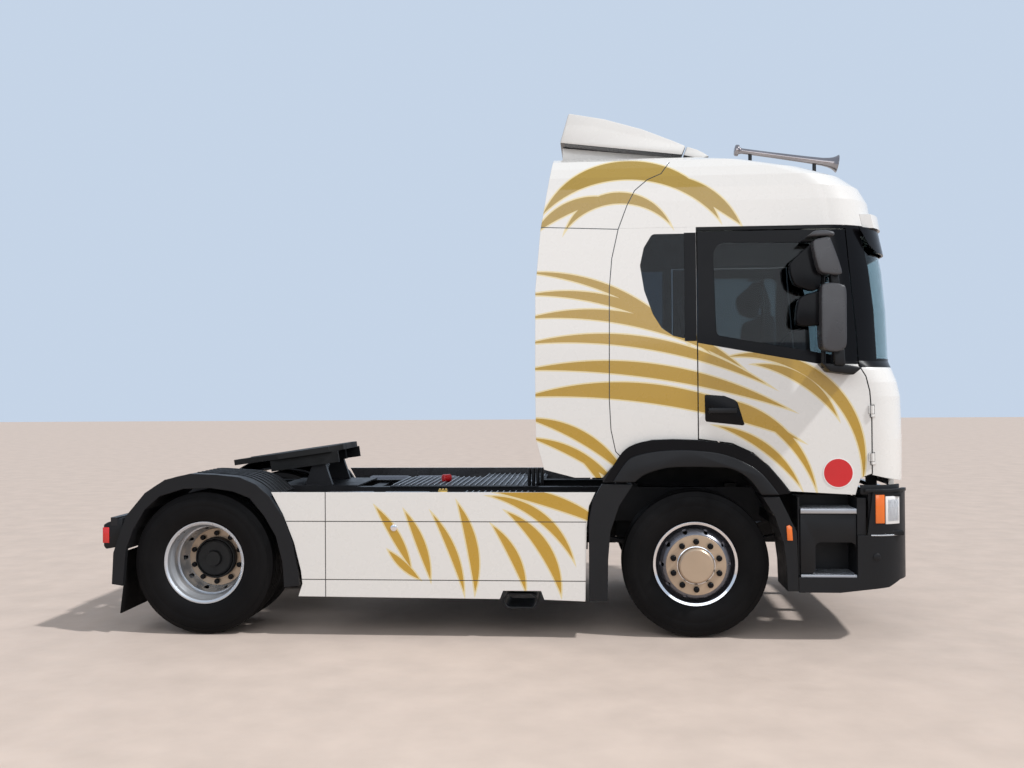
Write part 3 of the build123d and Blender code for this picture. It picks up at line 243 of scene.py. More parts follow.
# Seams between the cab's side panels, as runs of places in side view
CAB_SEAMS = [
    [(-0.156, 3.391), (-0.219, 3.300), (-0.317, 3.256), (-0.408, 3.177), (-0.464, 3.069), (-0.527, 2.900),
     (-0.574, 2.692), (-0.593, 2.476), (-0.599, 1.688), (-0.589, 1.476), (-0.557, 1.323), (-0.520, 1.285)],
    [(-1.075, 2.924), (-0.527, 2.900)],
]
SKIRT_SEAMS = [
    [(-2.925, 0.829), (-0.770, 0.829)],
    [(-2.810, 0.412), (-0.770, 0.412)],
    [(-2.640, 0.280), (-2.640, 1.040)],
]


def arc_circle(x0, z0, x1, z1, rise):
    """Centre and radius of the circle through two points whose arc rises that far above the chord."""
    half = math.hypot(x1 - x0, z1 - z0) / 2
    radius = (half * half + rise * rise) / (2 * abs(rise))
    across = Vector((-(z1 - z0), x1 - x0)).normalized()
    middle = Vector(((x0 + x1) / 2, (z0 + z1) / 2))
    return middle - across * math.copysign(radius - abs(rise), rise), radius


def blade_depth(material, place, blade):
    """How far inside one blade a place of the side view lies, below zero outside it."""
    x0, z0, x1, z1, outer_rise, inner_rise = blade
    depths = []
    for rise in (outer_rise, inner_rise):
        centre, radius = arc_circle(x0, z0, x1, z1, rise)
        centre_place = (centre.x + FRONT_AXLE_X, 0, centre.y)
        depths.append((vector_node(material, "DISTANCE", place, centre_place).outputs["Value"], radius))
    (outer, outer_r), (inner, inner_r) = depths
    inside_outer = math_node(material, "SUBTRACT", outer_r, outer)
    if outer_rise * inner_rise > 0:
        past_inner = math_node(material, "SUBTRACT", inner, inner_r)
    else:
        past_inner = math_node(material, "SUBTRACT", inner_r, inner)
    return math_node(material, "MINIMUM", inside_outer, past_inner)


def seam_gap(material, place, start_place, end_place):
    """Distance in side view from a place to one straight stretch of a seam."""
    foot = (start_place[0] + FRONT_AXLE_X, 0, start_place[1])
    run = (end_place[0] - start_place[0], 0, end_place[1] - start_place[1])
    offset = vector_node(material, "SUBTRACT", place, foot).outputs[0]
    along = vector_node(material, "DOT_PRODUCT", offset, run).outputs["Value"]
    share = math_node(material, "DIVIDE", along, run[0] ** 2 + run[2] ** 2, clamp=True)
    reach = vector_node(material, "SCALE", run)
    set_socket(material, reach.inputs["Scale"], share)
    return vector_node(material, "DISTANCE", offset, reach.outputs[0]).outputs["Value"]


def painted(name, centre, blades=(), seams=()):
    """White paint with blades and seams on the faces that look away from a centre, dark grey on the others:
    trim in the cab, painted shade on sheets that are white inside.
    """
    material = shader(name, WHITE, roughness=0.28, coat=0.7, patchy=0.015, edge=0.004)
    grained(material, 40, 0.01)
    tree = material.node_tree.nodes
    place = object_place(material)
    normal = object_place(material, "Normal")
    split = tree.new("ShaderNodeSeparateXYZ")
    set_socket(material, split.inputs[0], place)
    facing = tree.new("ShaderNodeSeparateXYZ")
    set_socket(material, facing.inputs[0], normal)
    flat = vector_node(material, "MULTIPLY", place, (1, 0, 1)).outputs[0]
    sideways = math_node(material, "ABSOLUTE", facing.outputs["Y"])
    on_side = math_node(material, "GREATER_THAN", sideways, SIDE_FACING)
    colour = WHITE
    if blades:
        depth = -1.0
        for blade in blades:
            depth = math_node(material, "MAXIMUM", depth, blade_depth(material, flat, blade))
        for edge, tone in ((-EDGE_LINE, CREAM), (0.0, gold_tone(material, split.outputs["Z"]))):
            inside = math_node(material, "GREATER_THAN", depth, edge)
            colour = mixed(material, math_node(material, "MULTIPLY", inside, on_side), colour, tone)
    if seams:
        gap = 1.0
        for seam in seams:
            for ends in zip(seam, seam[1:]):
                gap = math_node(material, "MINIMUM", gap, seam_gap(material, flat, *ends))
        near = math_node(material, "LESS_THAN", gap, SEAM_HALF)
        colour = mixed(material, math_node(material, "MULTIPLY", near, on_side), colour, SEAM_BLACK)
    middle = (centre[0] + FRONT_AXLE_X, centre[1], centre[2])
    outward = vector_node(material, "SUBTRACT", place, middle).outputs[0]
    away = vector_node(material, "DOT_PRODUCT", outward, normal).outputs["Value"]
    # Inward faces turn dark grey: interior trim in the cab, painted shade on the inside of the fairings and
    # skirts
    colour = mixed(material, math_node(material, "LESS_THAN", away, INWARD), colour, TRIM_AND_SHADE_GREY)
    set_socket(material, tree["Principled BSDF"].inputs["Base Color"], colour)
    return material


def gold_tone(material, height):
    """Olive gold up high that turns to amber towards the ground."""
    warm = material.node_tree.nodes.new("ShaderNodeMapRange")
    warm.inputs["From Min"].default_value = 0.4
    warm.inputs["From Max"].default_value = 3.2
    set_socket(material, warm.inputs["Value"], height)
    return mixed(material, warm.outputs["Result"], GOLD_LOW, GOLD_HIGH)


DOOR_FRONT = 1.0


def glass(name, tint, roughness=0.02, bend=1.45, front_reflection_tint=None):
    """Clear or tinted glass, with a paler tint in front of the doors where one is given: a painted reflection
    on the windscreen.
    """
    material = shader(name, tint, roughness, patchy=0.0)
    surface = material.node_tree.nodes["Principled BSDF"]
    if front_reflection_tint:
        split = material.node_tree.nodes.new("ShaderNodeSeparateXYZ")
        set_socket(material, split.inputs[0], object_place(material))
        reflecting_front = math_node(material, "GREATER_THAN", split.outputs["X"], FRONT_AXLE_X + DOOR_FRONT)
        set_socket(material, surface.inputs["Base Color"], mixed(material, reflecting_front, tint, front_reflection_tint))
    surface.inputs["IOR"].default_value = bend
    surface.inputs["Transmission Weight"].default_value = 1.0
    return material


# The finishes

CAB_MIDDLE = (0.350, 0.0, 2.150)
SKIRT_MIDDLE = (-1.800, 0.0, 0.660)
cab_paint = painted("white paint with gold blades", CAB_MIDDLE, CAB_BLADES, CAB_SEAMS)
white_paint = painted("white paint", CAB_MIDDLE)
skirt_paint = painted("skirt paint with gold blades", SKIRT_MIDDLE, SKIRT_BLADES, SKIRT_SEAMS)
dark_plastic = grained(
    shader("dark grey plastic", (0.009, 0.0095, 0.011), 0.42, specular=0.25, edge=0.008), 420, 0.12
)
satin_plastic = grained(shader("satin mirror shell", (0.045, 0.045, 0.050), 0.30, edge=0.020), 700, 0.05)
gloss_black = shader("gloss black frame", (0.004, 0.004, 0.005), 0.20, specular=0.14, edge=0.003)
rubber = grained(
    shader("tyre rubber", (0.0045, 0.0042, 0.0045), 0.6, specular=0.12, patchy=0.35), 190, 0.3
)
# The paler tint in front of the doors is a painted reflection on the windscreen
cab_glazing = glass("cab glazing", (0.10, 0.14, 0.17), bend=1.30, front_reflection_tint=(0.62, 0.74, 0.75))
door_glazing = glass("door glazing", (0.17, 0.21, 0.22), bend=1.30)
clear_lens = glass("clear lens", (0.92, 0.93, 0.95))
amber_lens = shader("amber lens", (0.80, 0.16, 0.005), 0.12, coat=0.8, edge=0.002)
red_lens = shader("red lens", (0.62, 0.012, 0.010), 0.12, coat=0.8, edge=0.002)
frame_paint = grained(
    shader("frame paint", (0.014, 0.014, 0.016), 0.42, specular=0.3, patchy=0.3, edge=0.002), 90, 0.12
)
cast_black = grained(
    shader("cast iron", (0.012, 0.012, 0.012), 0.6, specular=0.3, patchy=0.3, edge=0.004), 140, 0.3
)
rim_silver = grained(
    shader("rim lacquer", (0.55, 0.57, 0.60), 0.30, metallic=0.7, patchy=0.02, edge=0.003), 160, 0.02
)
rim_grey = grained(shader("steel rim", (0.16, 0.16, 0.18), 0.32, metallic=0.7, edge=0.003), 60, 0.05)
bright_metal = shader("polished steel", (0.78, 0.78, 0.80), 0.10, metallic=1.0, edge=0.002)
dull_chrome = shader("weathered chrome", (0.30, 0.27, 0.27), 0.14, metallic=1.0, patchy=0.25, edge=0.002)
bronze = grained(
    shader("pale bronze lacquer", (0.47, 0.36, 0.26), 0.34, metallic=0.45, edge=0.003), 80, 0.06
)
aluminium = grained(
    shader("bare aluminium", (0.45, 0.46, 0.48), 0.36, metallic=0.9, edge=0.001), 60, 0.1, (1, 14, 14)
)
deck_plate = ribbed(
    shader("deck plate", (0.050, 0.054, 0.062), 0.42, metallic=0.3, patchy=0.3), "Y", 0.030, 0.8
)
red_film = shader("red film", (0.56, 0.008, 0.012), 0.35, coat=0.3)
white_film = shader("white film", (0.78, 0.78, 0.78), 0.35, coat=0.3, edge=0.002)
seat_cloth = grained(shader("seat cloth", (0.030, 0.030, 0.036), 0.9), 260, 0.1)
brass = shader("brass", (0.60, 0.38, 0.10), 0.28, metallic=1.0, edge=0.001)
hose_rubber = grained(shader("hose rubber", (0.010, 0.010, 0.011), 0.5, specular=0.35), 300, 0.15)

FINISHES = {
    cab_paint: ["cab_sides", "side_fairings", "door_panel_right", "door_panel_left", "roof"],
    white_paint: ["cab_rear", "cab_front", "front_lid", "header"],
    skirt_paint: ["side_skirts"],
    dark_plastic: [
        "arch_tops", "arch_guards", "rear_fenders", "bumper", "step_boxes", "headlamps", "exhaust_box",
        "tanks", "dashboard",
    ],
    gloss_black: ["door_frame_right", "door_frame_left", "screen_frame", "sun_visor"],
    cab_glazing: ["cab_glass"],
    door_glazing: ["door_glass_right", "door_glass_left"],
    frame_paint: ["frame_rails", "crossmembers", "suspension", "tilt_brackets", "fifth_base", "cab_floor"],
    cast_black: [
        "front_axle", "rear_axle", "knuckle_right", "knuckle_left", "tie_rod", "engine", "driveline",
        "fifth_plate", "rear_hub_right", "rear_hub_left",
    ],
    bronze: ["front_hub_right", "front_hub_left"],
    rim_grey: ["front_rim_right", "front_rim_left"],
    rim_silver: ["rear_rims_right", "rear_rims_left"],
    rubber: ["mud_flaps"],
    seat_cloth: ["seats_and_bunk"],
}
for finish, names in FINISHES.items():
    for name in names:
        piece = nodes[name]
        piece.data.materials.clear()
        piece.data.materials.append(finish)


# Ways of making a piece


def start():
    """Leaves edit mode and selects nothing."""
    if bpy.context.object and bpy.context.object.mode != "OBJECT":
        bpy.ops.object.mode_set(mode="OBJECT")
    bpy.ops.object.select_all(action="DESELECT")


def settle(name, finish, body):
    """Names the active piece, puts its place in its mesh, gives it a finish and lets it ride."""
    piece = bpy.context.object
    piece.name = name
    piece.data.name = name
    bpy.ops.object.transform_apply(location=True, rotation=True, scale=True)
    piece.data.materials.clear()
    piece.data.materials.append(finish)
    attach(piece, body)
    return piece


def bevelled(width, segments=2):
    """Rounds every edge of the active piece over 30 degrees."""
    modifier = bpy.context.object.modifiers.new("round", "BEVEL")
    modifier.width = width
    modifier.segments = segments
    modifier.limit_method = "ANGLE"
    modifier.angle_limit = math.radians(30)
    bpy.ops.object.modifier_apply(modifier=modifier.name)
    bpy.ops.object.shade_smooth_by_angle(angle=math.radians(35))


def bar(name, finish, body, low, high, width=0.0):
    """A box between two corners, its edges rounded."""
    start()
    centre = [(a + b) / 2 for a, b in zip(low, high)]
    bpy.ops.mesh.primitive_cube_add(size=1, location=centre)
    bpy.context.object.scale = [abs(b - a) for a, b in zip(low, high)]
    bpy.ops.object.transform_apply(location=False, rotation=False, scale=True)
    if width:
        bevelled(width)
    return settle(name, finish, body)


def round_bar(name, finish, body, a, b, radius, width=0.0, sides=32):
    """A round between two points, its rims rounded."""
    start()
    a, b = Vector(a), Vector(b)
    bpy.ops.mesh.primitive_cylinder_add(
        vertices=sides, radius=radius, depth=(b - a).length, location=(a + b) / 2,
        rotation=(b - a).to_track_quat("Z", "Y").to_euler(),
    )
    bpy.ops.object.transform_apply(location=True, rotation=True, scale=True)
    if width:
        bevelled(width)
    else:
        bpy.ops.object.shade_smooth_by_angle(angle=math.radians(35))
    return settle(name, finish, body)


def cut_plate(name, finish, body, outline, travel, width, segments=2):
    """A flat outline of places pushed along a travel, its edges rounded where a width is given."""
    start()
    bpy.ops.mesh.primitive_circle_add(vertices=len(outline), radius=1, fill_type="NGON")
    for vertex, place in zip(bpy.context.object.data.vertices, outline):
        vertex.co = place
    bpy.ops.object.mode_set(mode="EDIT")
    bpy.ops.mesh.select_all(action="SELECT")
    bpy.ops.mesh.extrude_region_move(TRANSFORM_OT_translate={"value": travel})
    bpy.ops.mesh.select_all(action="SELECT")
    bpy.ops.mesh.normals_make_consistent(inside=False)
    bpy.ops.object.mode_set(mode="OBJECT")
    if width:
        bevelled(width, segments)
    return settle(name, finish, body)


def side_plate(name, finish, body, outline, y0, y1, width=0.0, segments=2):
    """A plate cut to a side-view outline of (x, z) places, between two planes of y."""
    places = [at(x, y0, z) for x, z in outline]
    return cut_plate(name, finish, body, places, (0, y1 - y0, 0), width, segments)


def plan_plate(name, finish, body, outline, z0, z1, width):
    """A plate cut to a plan outline of (x, y) places, between two heights."""
    places = [at(x, y, z0) for x, y in outline]
    return cut_plate(name, finish, body, places, (0, 0, z1 - z0), width)


# The bumper line's rounded front corner in plan
CORNER_X, CORNER_Y, CORNER_R = 1.232, 1.004, 0.249


def corner_run(side, x0, x1, proud, depth, steps=14):
    """Plan outline along the front corner from x0 to x1, that far proud of it and that deep."""
    run = []
    for step in range(steps + 1):
        x = x0 + (x1 - x0) * step / steps
        angle = math.asin(min(max((x - CORNER_X) / CORNER_R, 0.0), 0.999))
        normal = Vector((math.sin(angle), math.cos(angle)))
        foot_x = x if x < CORNER_X else CORNER_X + CORNER_R * math.sin(angle)
        run.append((Vector((foot_x, CORNER_Y + CORNER_R * math.cos(angle))), normal))
    outer = [foot + normal * proud for foot, normal in run]
    inner = [foot + normal * (proud - depth) for foot, normal in reversed(run)]
    return [(point.x, side * point.y) for point in outer + inner]


def spun(name, finish, body, ring, centre, axis, steps, smooth):
    """A closed ring of places spun once about an axis, smoothed up to an angle in degrees."""
    start()
    bpy.ops.mesh.primitive_circle_add(vertices=len(ring), radius=1, fill_type="NOTHING")
    for vertex, place in zip(bpy.context.object.data.vertices, ring):
        vertex.co = place
    bpy.ops.object.mode_set(mode="EDIT")
    bpy.ops.mesh.select_all(action="SELECT")
    bpy.ops.mesh.spin(steps=steps, angle=math.tau, center=centre, axis=axis, use_auto_merge=True)
    bpy.ops.mesh.select_all(action="SELECT")
    bpy.ops.mesh.remove_doubles(threshold=0.00005)
    bpy.ops.mesh.normals_make_consistent(inside=False)
    bpy.ops.object.mode_set(mode="OBJECT")
    bpy.ops.object.shade_smooth_by_angle(angle=math.radians(smooth))
    return settle(name, finish, body)


def turned(name, finish, body, profile, axle_x, side):
    """A ring spun about a wheel's axle from (outboard, radius) points, the outboard way of that side."""
    ring = [(axle_x, side * outboard, WHEEL_Z + radius) for outboard, radius in profile]
    return spun(name, finish, body, ring, (axle_x, 0, WHEEL_Z), (0, 1, 0), 96, 30)


def joined(pieces, name, body):
    """Several pieces of one finish as one."""
    start()
    for piece in pieces:
        piece.select_set(True)
    bpy.context.view_layer.objects.active = pieces[0]
    bpy.ops.object.join()
    pieces[0].name = name
    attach(pieces[0], body)


def row_of(piece, count, step):
    """Repeats a piece along a straight row."""
    start()
    piece.select_set(True)
    bpy.context.view_layer.objects.active = piece
    modifier = piece.modifiers.new("row", "ARRAY")
    modifier.count = count
    modifier.use_relative_offset = False
    modifier.use_constant_offset = True
    modifier.constant_offset_displace = step
    bpy.ops.object.modifier_apply(modifier=modifier.name)


def smooth_line(points, steps=5):
    """A rounded line through places, by Catmull-Rom spans."""
    line = []
    for index in range(len(points) - 1):
        p0, p1 = points[max(index - 1, 0)], points[index]
        p2, p3 = points[index + 1], points[min(index + 2, len(points) - 1)]
        for step in range(steps):
            t = step / steps
            line.append(tuple(
                0.5 * (
                    2 * b + (c - a) * t + (2 * a - 5 * b + 4 * c - d) * t * t
                    + (3 * b - a - 3 * c + d) * t ** 3
                )
                for a, b, c, d in zip(p0, p1, p2, p3)
            ))
    return [*line, points[-1]]


def smooth_ring(points, steps=4):
    """A rounded closed outline through places."""
    line = smooth_line([points[-1], *points, points[0], points[1]], steps)
    return line[steps:steps * (len(points) + 1)]


def along(points, inset):
    """The line that runs that far inside a line of side-view places."""
    moved = []
    for index, (x, z) in enumerate(points):
        before, after = points[max(index - 1, 0)], points[min(index + 1, len(points) - 1)]
        run = Vector((after[0] - before[0], after[1] - before[1])).normalized()
        down = inset if run.x > 0 else -inset
        moved.append((x + run.y * down, z - run.x * down))
    return moved


# Tyres with their tread grooves and sidewall ribs

# Half a tyre's section as distances from its middle and radii, from the bead to the shoulder
TYRE_HALF = [
    (0.122, 0.2988), (0.143, 0.335), (0.147, 0.385), (0.1475, 0.410), (0.1465, 0.414), (0.1475, 0.418),
    (0.145, 0.450), (0.136, 0.478), (0.138, 0.480), (0.133, 0.492), (0.124, 0.512),
]
TREAD_EDGE = (0.112, 0.5165)
GROOVES = (0.070, 0.024, -0.024, -0.070)
GROOVE_SHAPE = [(0.007, 0.5195), (0.005, 0.507), (-0.005, 0.507), (-0.007, 0.5195)]


def tyre_profile(centre_y):
    """Section of a tyre from its outer bead over the tread to its inner bead."""
    half = [*TYRE_HALF, TREAD_EDGE]
    outer = [(centre_y + out, radius) for out, radius in half]
    inner = [(centre_y - out, radius) for out, radius in reversed(half)]
    tread = [(centre_y + groove + out, radius) for groove in GROOVES for out, radius in GROOVE_SHAPE]
    return outer + tread + inner


for word, side in SIDES:
    tyre = turned(
        f"road_tyre_{word}", rubber, f"front_wheel_{word}", tyre_profile(FRONT_TYRE_Y), FRONT_AXLE_X, side
    )
    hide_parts(f"front_tyre_{word}")
    body = f"rear_wheels_{word}"
    outer = turned(f"rear_road_tyre_{word}", rubber, body, tyre_profile(OUTER_TYRE_Y), REAR_AXLE_X, side)
    turned(f"inner_road_tyre_{word}", rubber, body, tyre_profile(INNER_TYRE_Y), REAR_AXLE_X, side)
    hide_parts(f"rear_tyres_{word}")


# Wheel nuts, a nut ring, a hub collar and trim rings

NUTS = 10
# Turned rings: distances out from the rim's face and radii
WHEEL_RINGS = [
    # name, finish, wheels, points
    ("front_trim_ring", bright_metal, "front",
     [(-0.056, 0.2965), (-0.046, 0.2990), (-0.044, 0.2965), (-0.050, 0.2790), (-0.056, 0.2790)]),
    ("front_cap_ring", bright_metal, "front",
     [(0.005, 0.134), (0.012, 0.134), (0.014, 0.128), (0.005, 0.126)]),
    ("rear_nut_ring", bronze, "rear",
     [(0.000, 0.140), (0.000, 0.2150), (0.003, 0.2150), (0.005, 0.212), (0.005, 0.140)]),
    ("rear_hub_collar", cast_black, "rear",
     [(0.000, 0.1395), (0.060, 0.1395), (0.060, 0.146), (0.050, 0.1525), (0.000, 0.1525)]),
]
WHEEL_SETS = {
    "front": ("front_wheel", FRONT_AXLE_X, FRONT_RIM_Y),
    "rear": ("rear_wheels", REAR_AXLE_X, REAR_RIM_Y),
}


def nut_circle(name, body, axle_x, side, foot_y, pitch_r, nut_r, dome, height=0.034):
    """Domed nuts on a circle round a wheel's axle, as one piece."""
    pieces = []
    for index in range(NUTS):
        angle = math.tau * (index + 0.5) / NUTS
        across, up = pitch_r * math.cos(angle), pitch_r * math.sin(angle)
        start()
        bpy.ops.mesh.primitive_cylinder_add(
            vertices=18, radius=nut_r, depth=height, rotation=(math.pi / 2, 0, 0),
            location=(axle_x + across, side * (foot_y + height / 2), WHEEL_Z + up),
        )
        bpy.ops.object.transform_apply(location=True, rotation=True, scale=True)
        bevelled(dome, 3)
        pieces.append(bpy.context.object)
    joined(pieces, name, body)
    pieces[0].data.materials.clear()
    pieces[0].data.materials.append(gloss_black)


for word, side in SIDES:
    nut_circle(
        f"front_nuts_{word}", f"front_wheel_{word}", FRONT_AXLE_X, side,
        FRONT_RIM_Y + 0.005, 0.1675, 0.021, 0.010,
    )
    for name, finish, wheels, points in WHEEL_RINGS:
        body, axle_x, rim_y = WHEEL_SETS[wheels]
        profile = [(rim_y + out, radius) for out, radius in points]
        turned(f"{name}_{word}", finish, f"{body}_{word}", profile, axle_x, side)
    nut_circle(
        f"rear_nuts_{word}", f"rear_wheels_{word}", REAR_AXLE_X, side,
        REAR_RIM_Y + 0.004, 0.1815, 0.019, 0.009,
    )


# Lamps, markers and the plain red disc on the doors

LAMP_PLATES = [
    # name, finish, x from, x to, how proud of the bumper's corner, z from, z to
    ("side_lamp", amber_lens, 1.222, 1.284, 0.006, 0.826, 1.024),
    ("headlamp_rim", white_film, 1.290, 1.396, 0.006, 0.820, 1.012),
    ("headlamp_lens", clear_lens, 1.306, 1.386, 0.009, 0.842, 0.990),
    ("lamp_brow", dark_plastic, 1.150, 1.452, 0.014, 1.040, 1.064),
    ("bumper_strip", rim_silver, 1.190, 1.440, 0.004, 0.738, 0.748),
]
SIDE_MARKER = [(0.622, 0.706), (0.660, 0.706), (0.654, 0.800), (0.636, 0.814), (0.616, 0.806)]
DISC_X, DISC_Z = 0.982, 1.171
DOOR_DISCS = [
    # name, finish, how proud of the door, radius
    ("door_disc_rim", white_film, 0.0004, 0.104),
    ("door_disc", red_film, 0.0008, 0.098),
]

for word, side in SIDES:
    for name, finish, x0, x1, proud, low, high in LAMP_PLATES:
        outline = corner_run(side, x0, x1, proud, proud + 0.016)
        plan_plate(f"{name}_{word}", finish, "chassis", outline, low, high, min(0.004, proud))
    side_plate(
        f"side_marker_{word}", amber_lens, "chassis", SIDE_MARKER,
        side * (ARCH_Y - 0.002), side * (ARCH_Y + 0.008), 0.003,
    )
    round_bar(
        f"bumper_plug_{word}", dark_plastic, "chassis",
        at(1.229, side * 1.245, 0.594), at(1.229, side * 1.258, 0.594), 0.026, 0.003,
    )
    for name, finish, proud, radius in DOOR_DISCS:
        round_bar(
            f"{name}_{word}", finish, f"door_{word}",
            at(DISC_X, side * (SKIN_Y - 0.004), DISC_Z), at(DISC_X, side * (SKIN_Y + proud), DISC_Z), radius,
            sides=64,
        )


# A dark seal between the lamps and the cab over them

for word, side in SIDES:
    strip = corner_run(side, 1.130, 1.450, -0.030, 0.020)
    plan_plate(f"lamp_seal_{word}", dark_plastic, "chassis", strip, 1.020, 1.088, 0.004)


# Door handles in their dark pockets, and the skirt's lock

HANDLE_POCKET = [
    (0.075, 1.722), (0.205, 1.712), (0.275, 1.684), (0.296, 1.664), (0.342, 1.512), (0.330, 1.504),
    (0.078, 1.532), (0.070, 1.545), (0.068, 1.712),
]
LOCK_X, LOCK_Z = -2.142, 0.784
for word, side in SIDES:
    body = f"door_{word}"
    side_plate(
        f"handle_pocket_{word}", gloss_black, body, HANDLE_POCKET,
        side * (SKIN_Y - 0.004), side * (SKIN_Y + 0.002), 0.0015,
    )
    bar(
        f"handle_grip_{word}", dark_plastic, body,
        at(0.090, side * 1.214, 1.590), at(0.290, side * 1.2435, 1.630), 0.008,
    )
    round_bar(
        f"skirt_lock_{word}", bright_metal, "chassis",
        at(LOCK_X, side * (SKIRT_Y - 0.002), LOCK_Z), at(LOCK_X, side * (SKIRT_Y + 0.004), LOCK_Z),
        0.024, 0.002,
    )


# Treads of bare metal on the steps, with raised diamonds

TREAD_BACK, TREAD_FRONT = 0.716, 1.096
DIAMOND_ROWS, DIAMOND_COLUMNS = 7, 14
DIAMOND_SIZE = (0.020, 0.006, 0.003)
for word, side in SIDES:
    for label, top in (("low", 0.466), ("high", 0.923)):
        pieces = [
            bar(
                f"tread_{label}_{word}", aluminium, "chassis",
                at(TREAD_BACK, side * 0.990, top - 0.001), at(TREAD_FRONT, side * 1.243, top + 0.002), 0.001,
            ),
            bar(
                f"tread_lip_{label}_{word}", aluminium, "chassis",
                at(TREAD_BACK, side * 1.240, top - 0.030), at(TREAD_FRONT, side * 1.247, top + 0.003), 0.002,
            ),
        ]
        for row in range(DIAMOND_ROWS):
            for column in range(DIAMOND_COLUMNS):
                place = at(0.730 + column * 0.0275, side * (1.015 + row * 0.035), top + 0.003)
                lean = 45 if (row + column) % 2 else -45
                start()
                bpy.ops.mesh.primitive_cube_add(size=1, location=place)
                diamond = bpy.context.object
                diamond.scale = DIAMOND_SIZE
                bpy.ops.object.transform_apply(location=True, rotation=False, scale=True)
                bpy.ops.object.mode_set(mode="EDIT")
                bpy.ops.mesh.select_all(action="SELECT")
                bpy.ops.transform.rotate(value=math.radians(lean), orient_axis="Z", center_override=place)
                bpy.ops.object.mode_set(mode="OBJECT")
                diamond.data.materials.append(aluminium)
                pieces.append(diamond)
        joined(pieces, f"tread_{label}_{word}", "chassis")


# The roof spoiler: a plain wedge with a nose in front of its seam, on a narrower foot

WEDGE = [
    (-0.880, 3.815), (-0.618, 3.766), (-0.340, 3.684), (-0.113, 3.592), (-0.020, 3.550), (-0.048, 3.482),
    (-0.947, 3.592),
]
NOSE = [(-0.012, 3.546), (0.060, 3.522), (0.110, 3.496), (0.150, 3.468), (0.080, 3.452), (-0.038, 3.480)]
FOOT = [(-0.930, 3.584), (-0.930, 3.483), (-0.645, 3.436), (0.060, 3.436), (0.020, 3.480)]
wedge = side_plate("spoiler_wedge", white_paint, "cab", WEDGE, -0.900, 0.900, 0.014)
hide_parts("roof_spoiler")
side_plate("spoiler_nose", white_paint, "cab", NOSE, -0.900, 0.900, 0.010)
side_plate("spoiler_foot", white_paint, "cab", FOOT, -0.780, 0.780, 0.006)


# The deck behind the cab: ribbed plates, a finned rest for the hoses, air tanks and a valve

DECK_BACK, DECK_FRONT = -2.330, -1.150
DECK_Z = 1.0005
RIB_GAP = 0.047
TANK_Z = 0.905
deck = bar(
    "deck_plate", deck_plate, "chassis",
    at(DECK_BACK, -0.420, DECK_Z), at(DECK_FRONT, 0.420, DECK_Z + 0.010), 0.002,
)
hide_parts("catwalk")
rib = bar(
    "deck_ribs", aluminium, "chassis",
    at(DECK_BACK + 0.020, -0.400, DECK_Z + 0.009), at(DECK_BACK + 0.028, 0.400, DECK_Z + 0.022), 0.002,
)
row_of(rib, 25, (RIB_GAP, 0, 0))
fin = bar(
    "hose_rest", hose_rubber, "chassis",
    at(-1.235, -0.420, DECK_Z + 0.008), at(-1.210, -0.330, 1.150), 0.010,
)
row_of(fin, 4, (0.034, 0, 0))
round_bar(
    "hose_cap", red_film, "chassis", at(-1.960, -0.060, 1.042), at(-1.900, -0.020, 1.042), 0.032, 0.008
)
for word, side in SIDES:
    bar(
        f"deck_step_{word}", deck_plate, "chassis",
        at(-1.700, side * 0.640, 0.972), at(-1.140, side * 1.120, 0.984), 0.002,
    )
    rib = bar(
        f"deck_step_ribs_{word}", aluminium, "chassis",
        at(-1.685, side * 0.650, 0.983), at(-1.677, side * 1.110, 0.996), 0.002,
    )
    row_of(rib, 12, (RIB_GAP, 0, 0))
    for x in (-1.620, -1.220):
        bar(
            f"deck_step_leg_{round(-x * 1000)}_{word}", frame_paint, "chassis",
            at(x - 0.020, side * RAIL_Y, 0.930), at(x + 0.020, side * 1.080, 0.972), 0.003,
        )
    for x in (-2.560, -2.130):
        label = f"{round(-x * 1000)}_{word}"
        round_bar(
            f"air_tank_{label}", rim_grey, "chassis",
            at(x - 0.190, side * 0.760, TANK_Z), at(x + 0.190, side * 0.760, TANK_Z), 0.095, 0.030,
        )
        bar(
            f"tank_cradle_{label}", frame_paint, "chassis",
            at(x - 0.015, side * RAIL_Y, 0.800), at(x + 0.015, side * 0.790, 0.830), 0.003,
        )
round_bar(
    "deck_valve_body", brass, "chassis", at(-1.870, -0.900, 1.004), at(-1.800, -0.900, 1.004), 0.022, 0.004
)
for index, x in enumerate((-1.858, -1.835, -1.812)):
    round_bar(
        f"deck_valve_port_{index}", brass, "chassis",
        at(x, -0.900, 0.960), at(x, -0.900, 1.034), 0.009, 0.002,
    )
bar(
    "deck_valve_shelf", frame_paint, "chassis",
    at(-1.900, -0.960, 0.954), at(-1.700, -RAIL_Y, 0.966), 0.002,
)


# Tail lamps: a dark housing with a red end

TAIL = [(-4.306, 0.640), (-4.306, 0.796), (-4.280, 0.812), (-4.160, 0.850), (-4.160, 0.640), (-4.290, 0.618)]
for word, side in SIDES:
    housing = side_plate(
        f"tail_housing_{word}", dark_plastic, "chassis", TAIL, side * 0.800, side * 1.214, 0.008
    )
    if word == "right":
        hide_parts("tail_lamps")
    bar(
        f"tail_lens_{word}", red_lens, "chassis",
        at(-4.312, side * 0.812, 0.662), at(-4.262, side * 1.2175, 0.778), 0.005,
    )


# Rear fenders: a moulded top that rises to the outer lip, with ribs along its front half

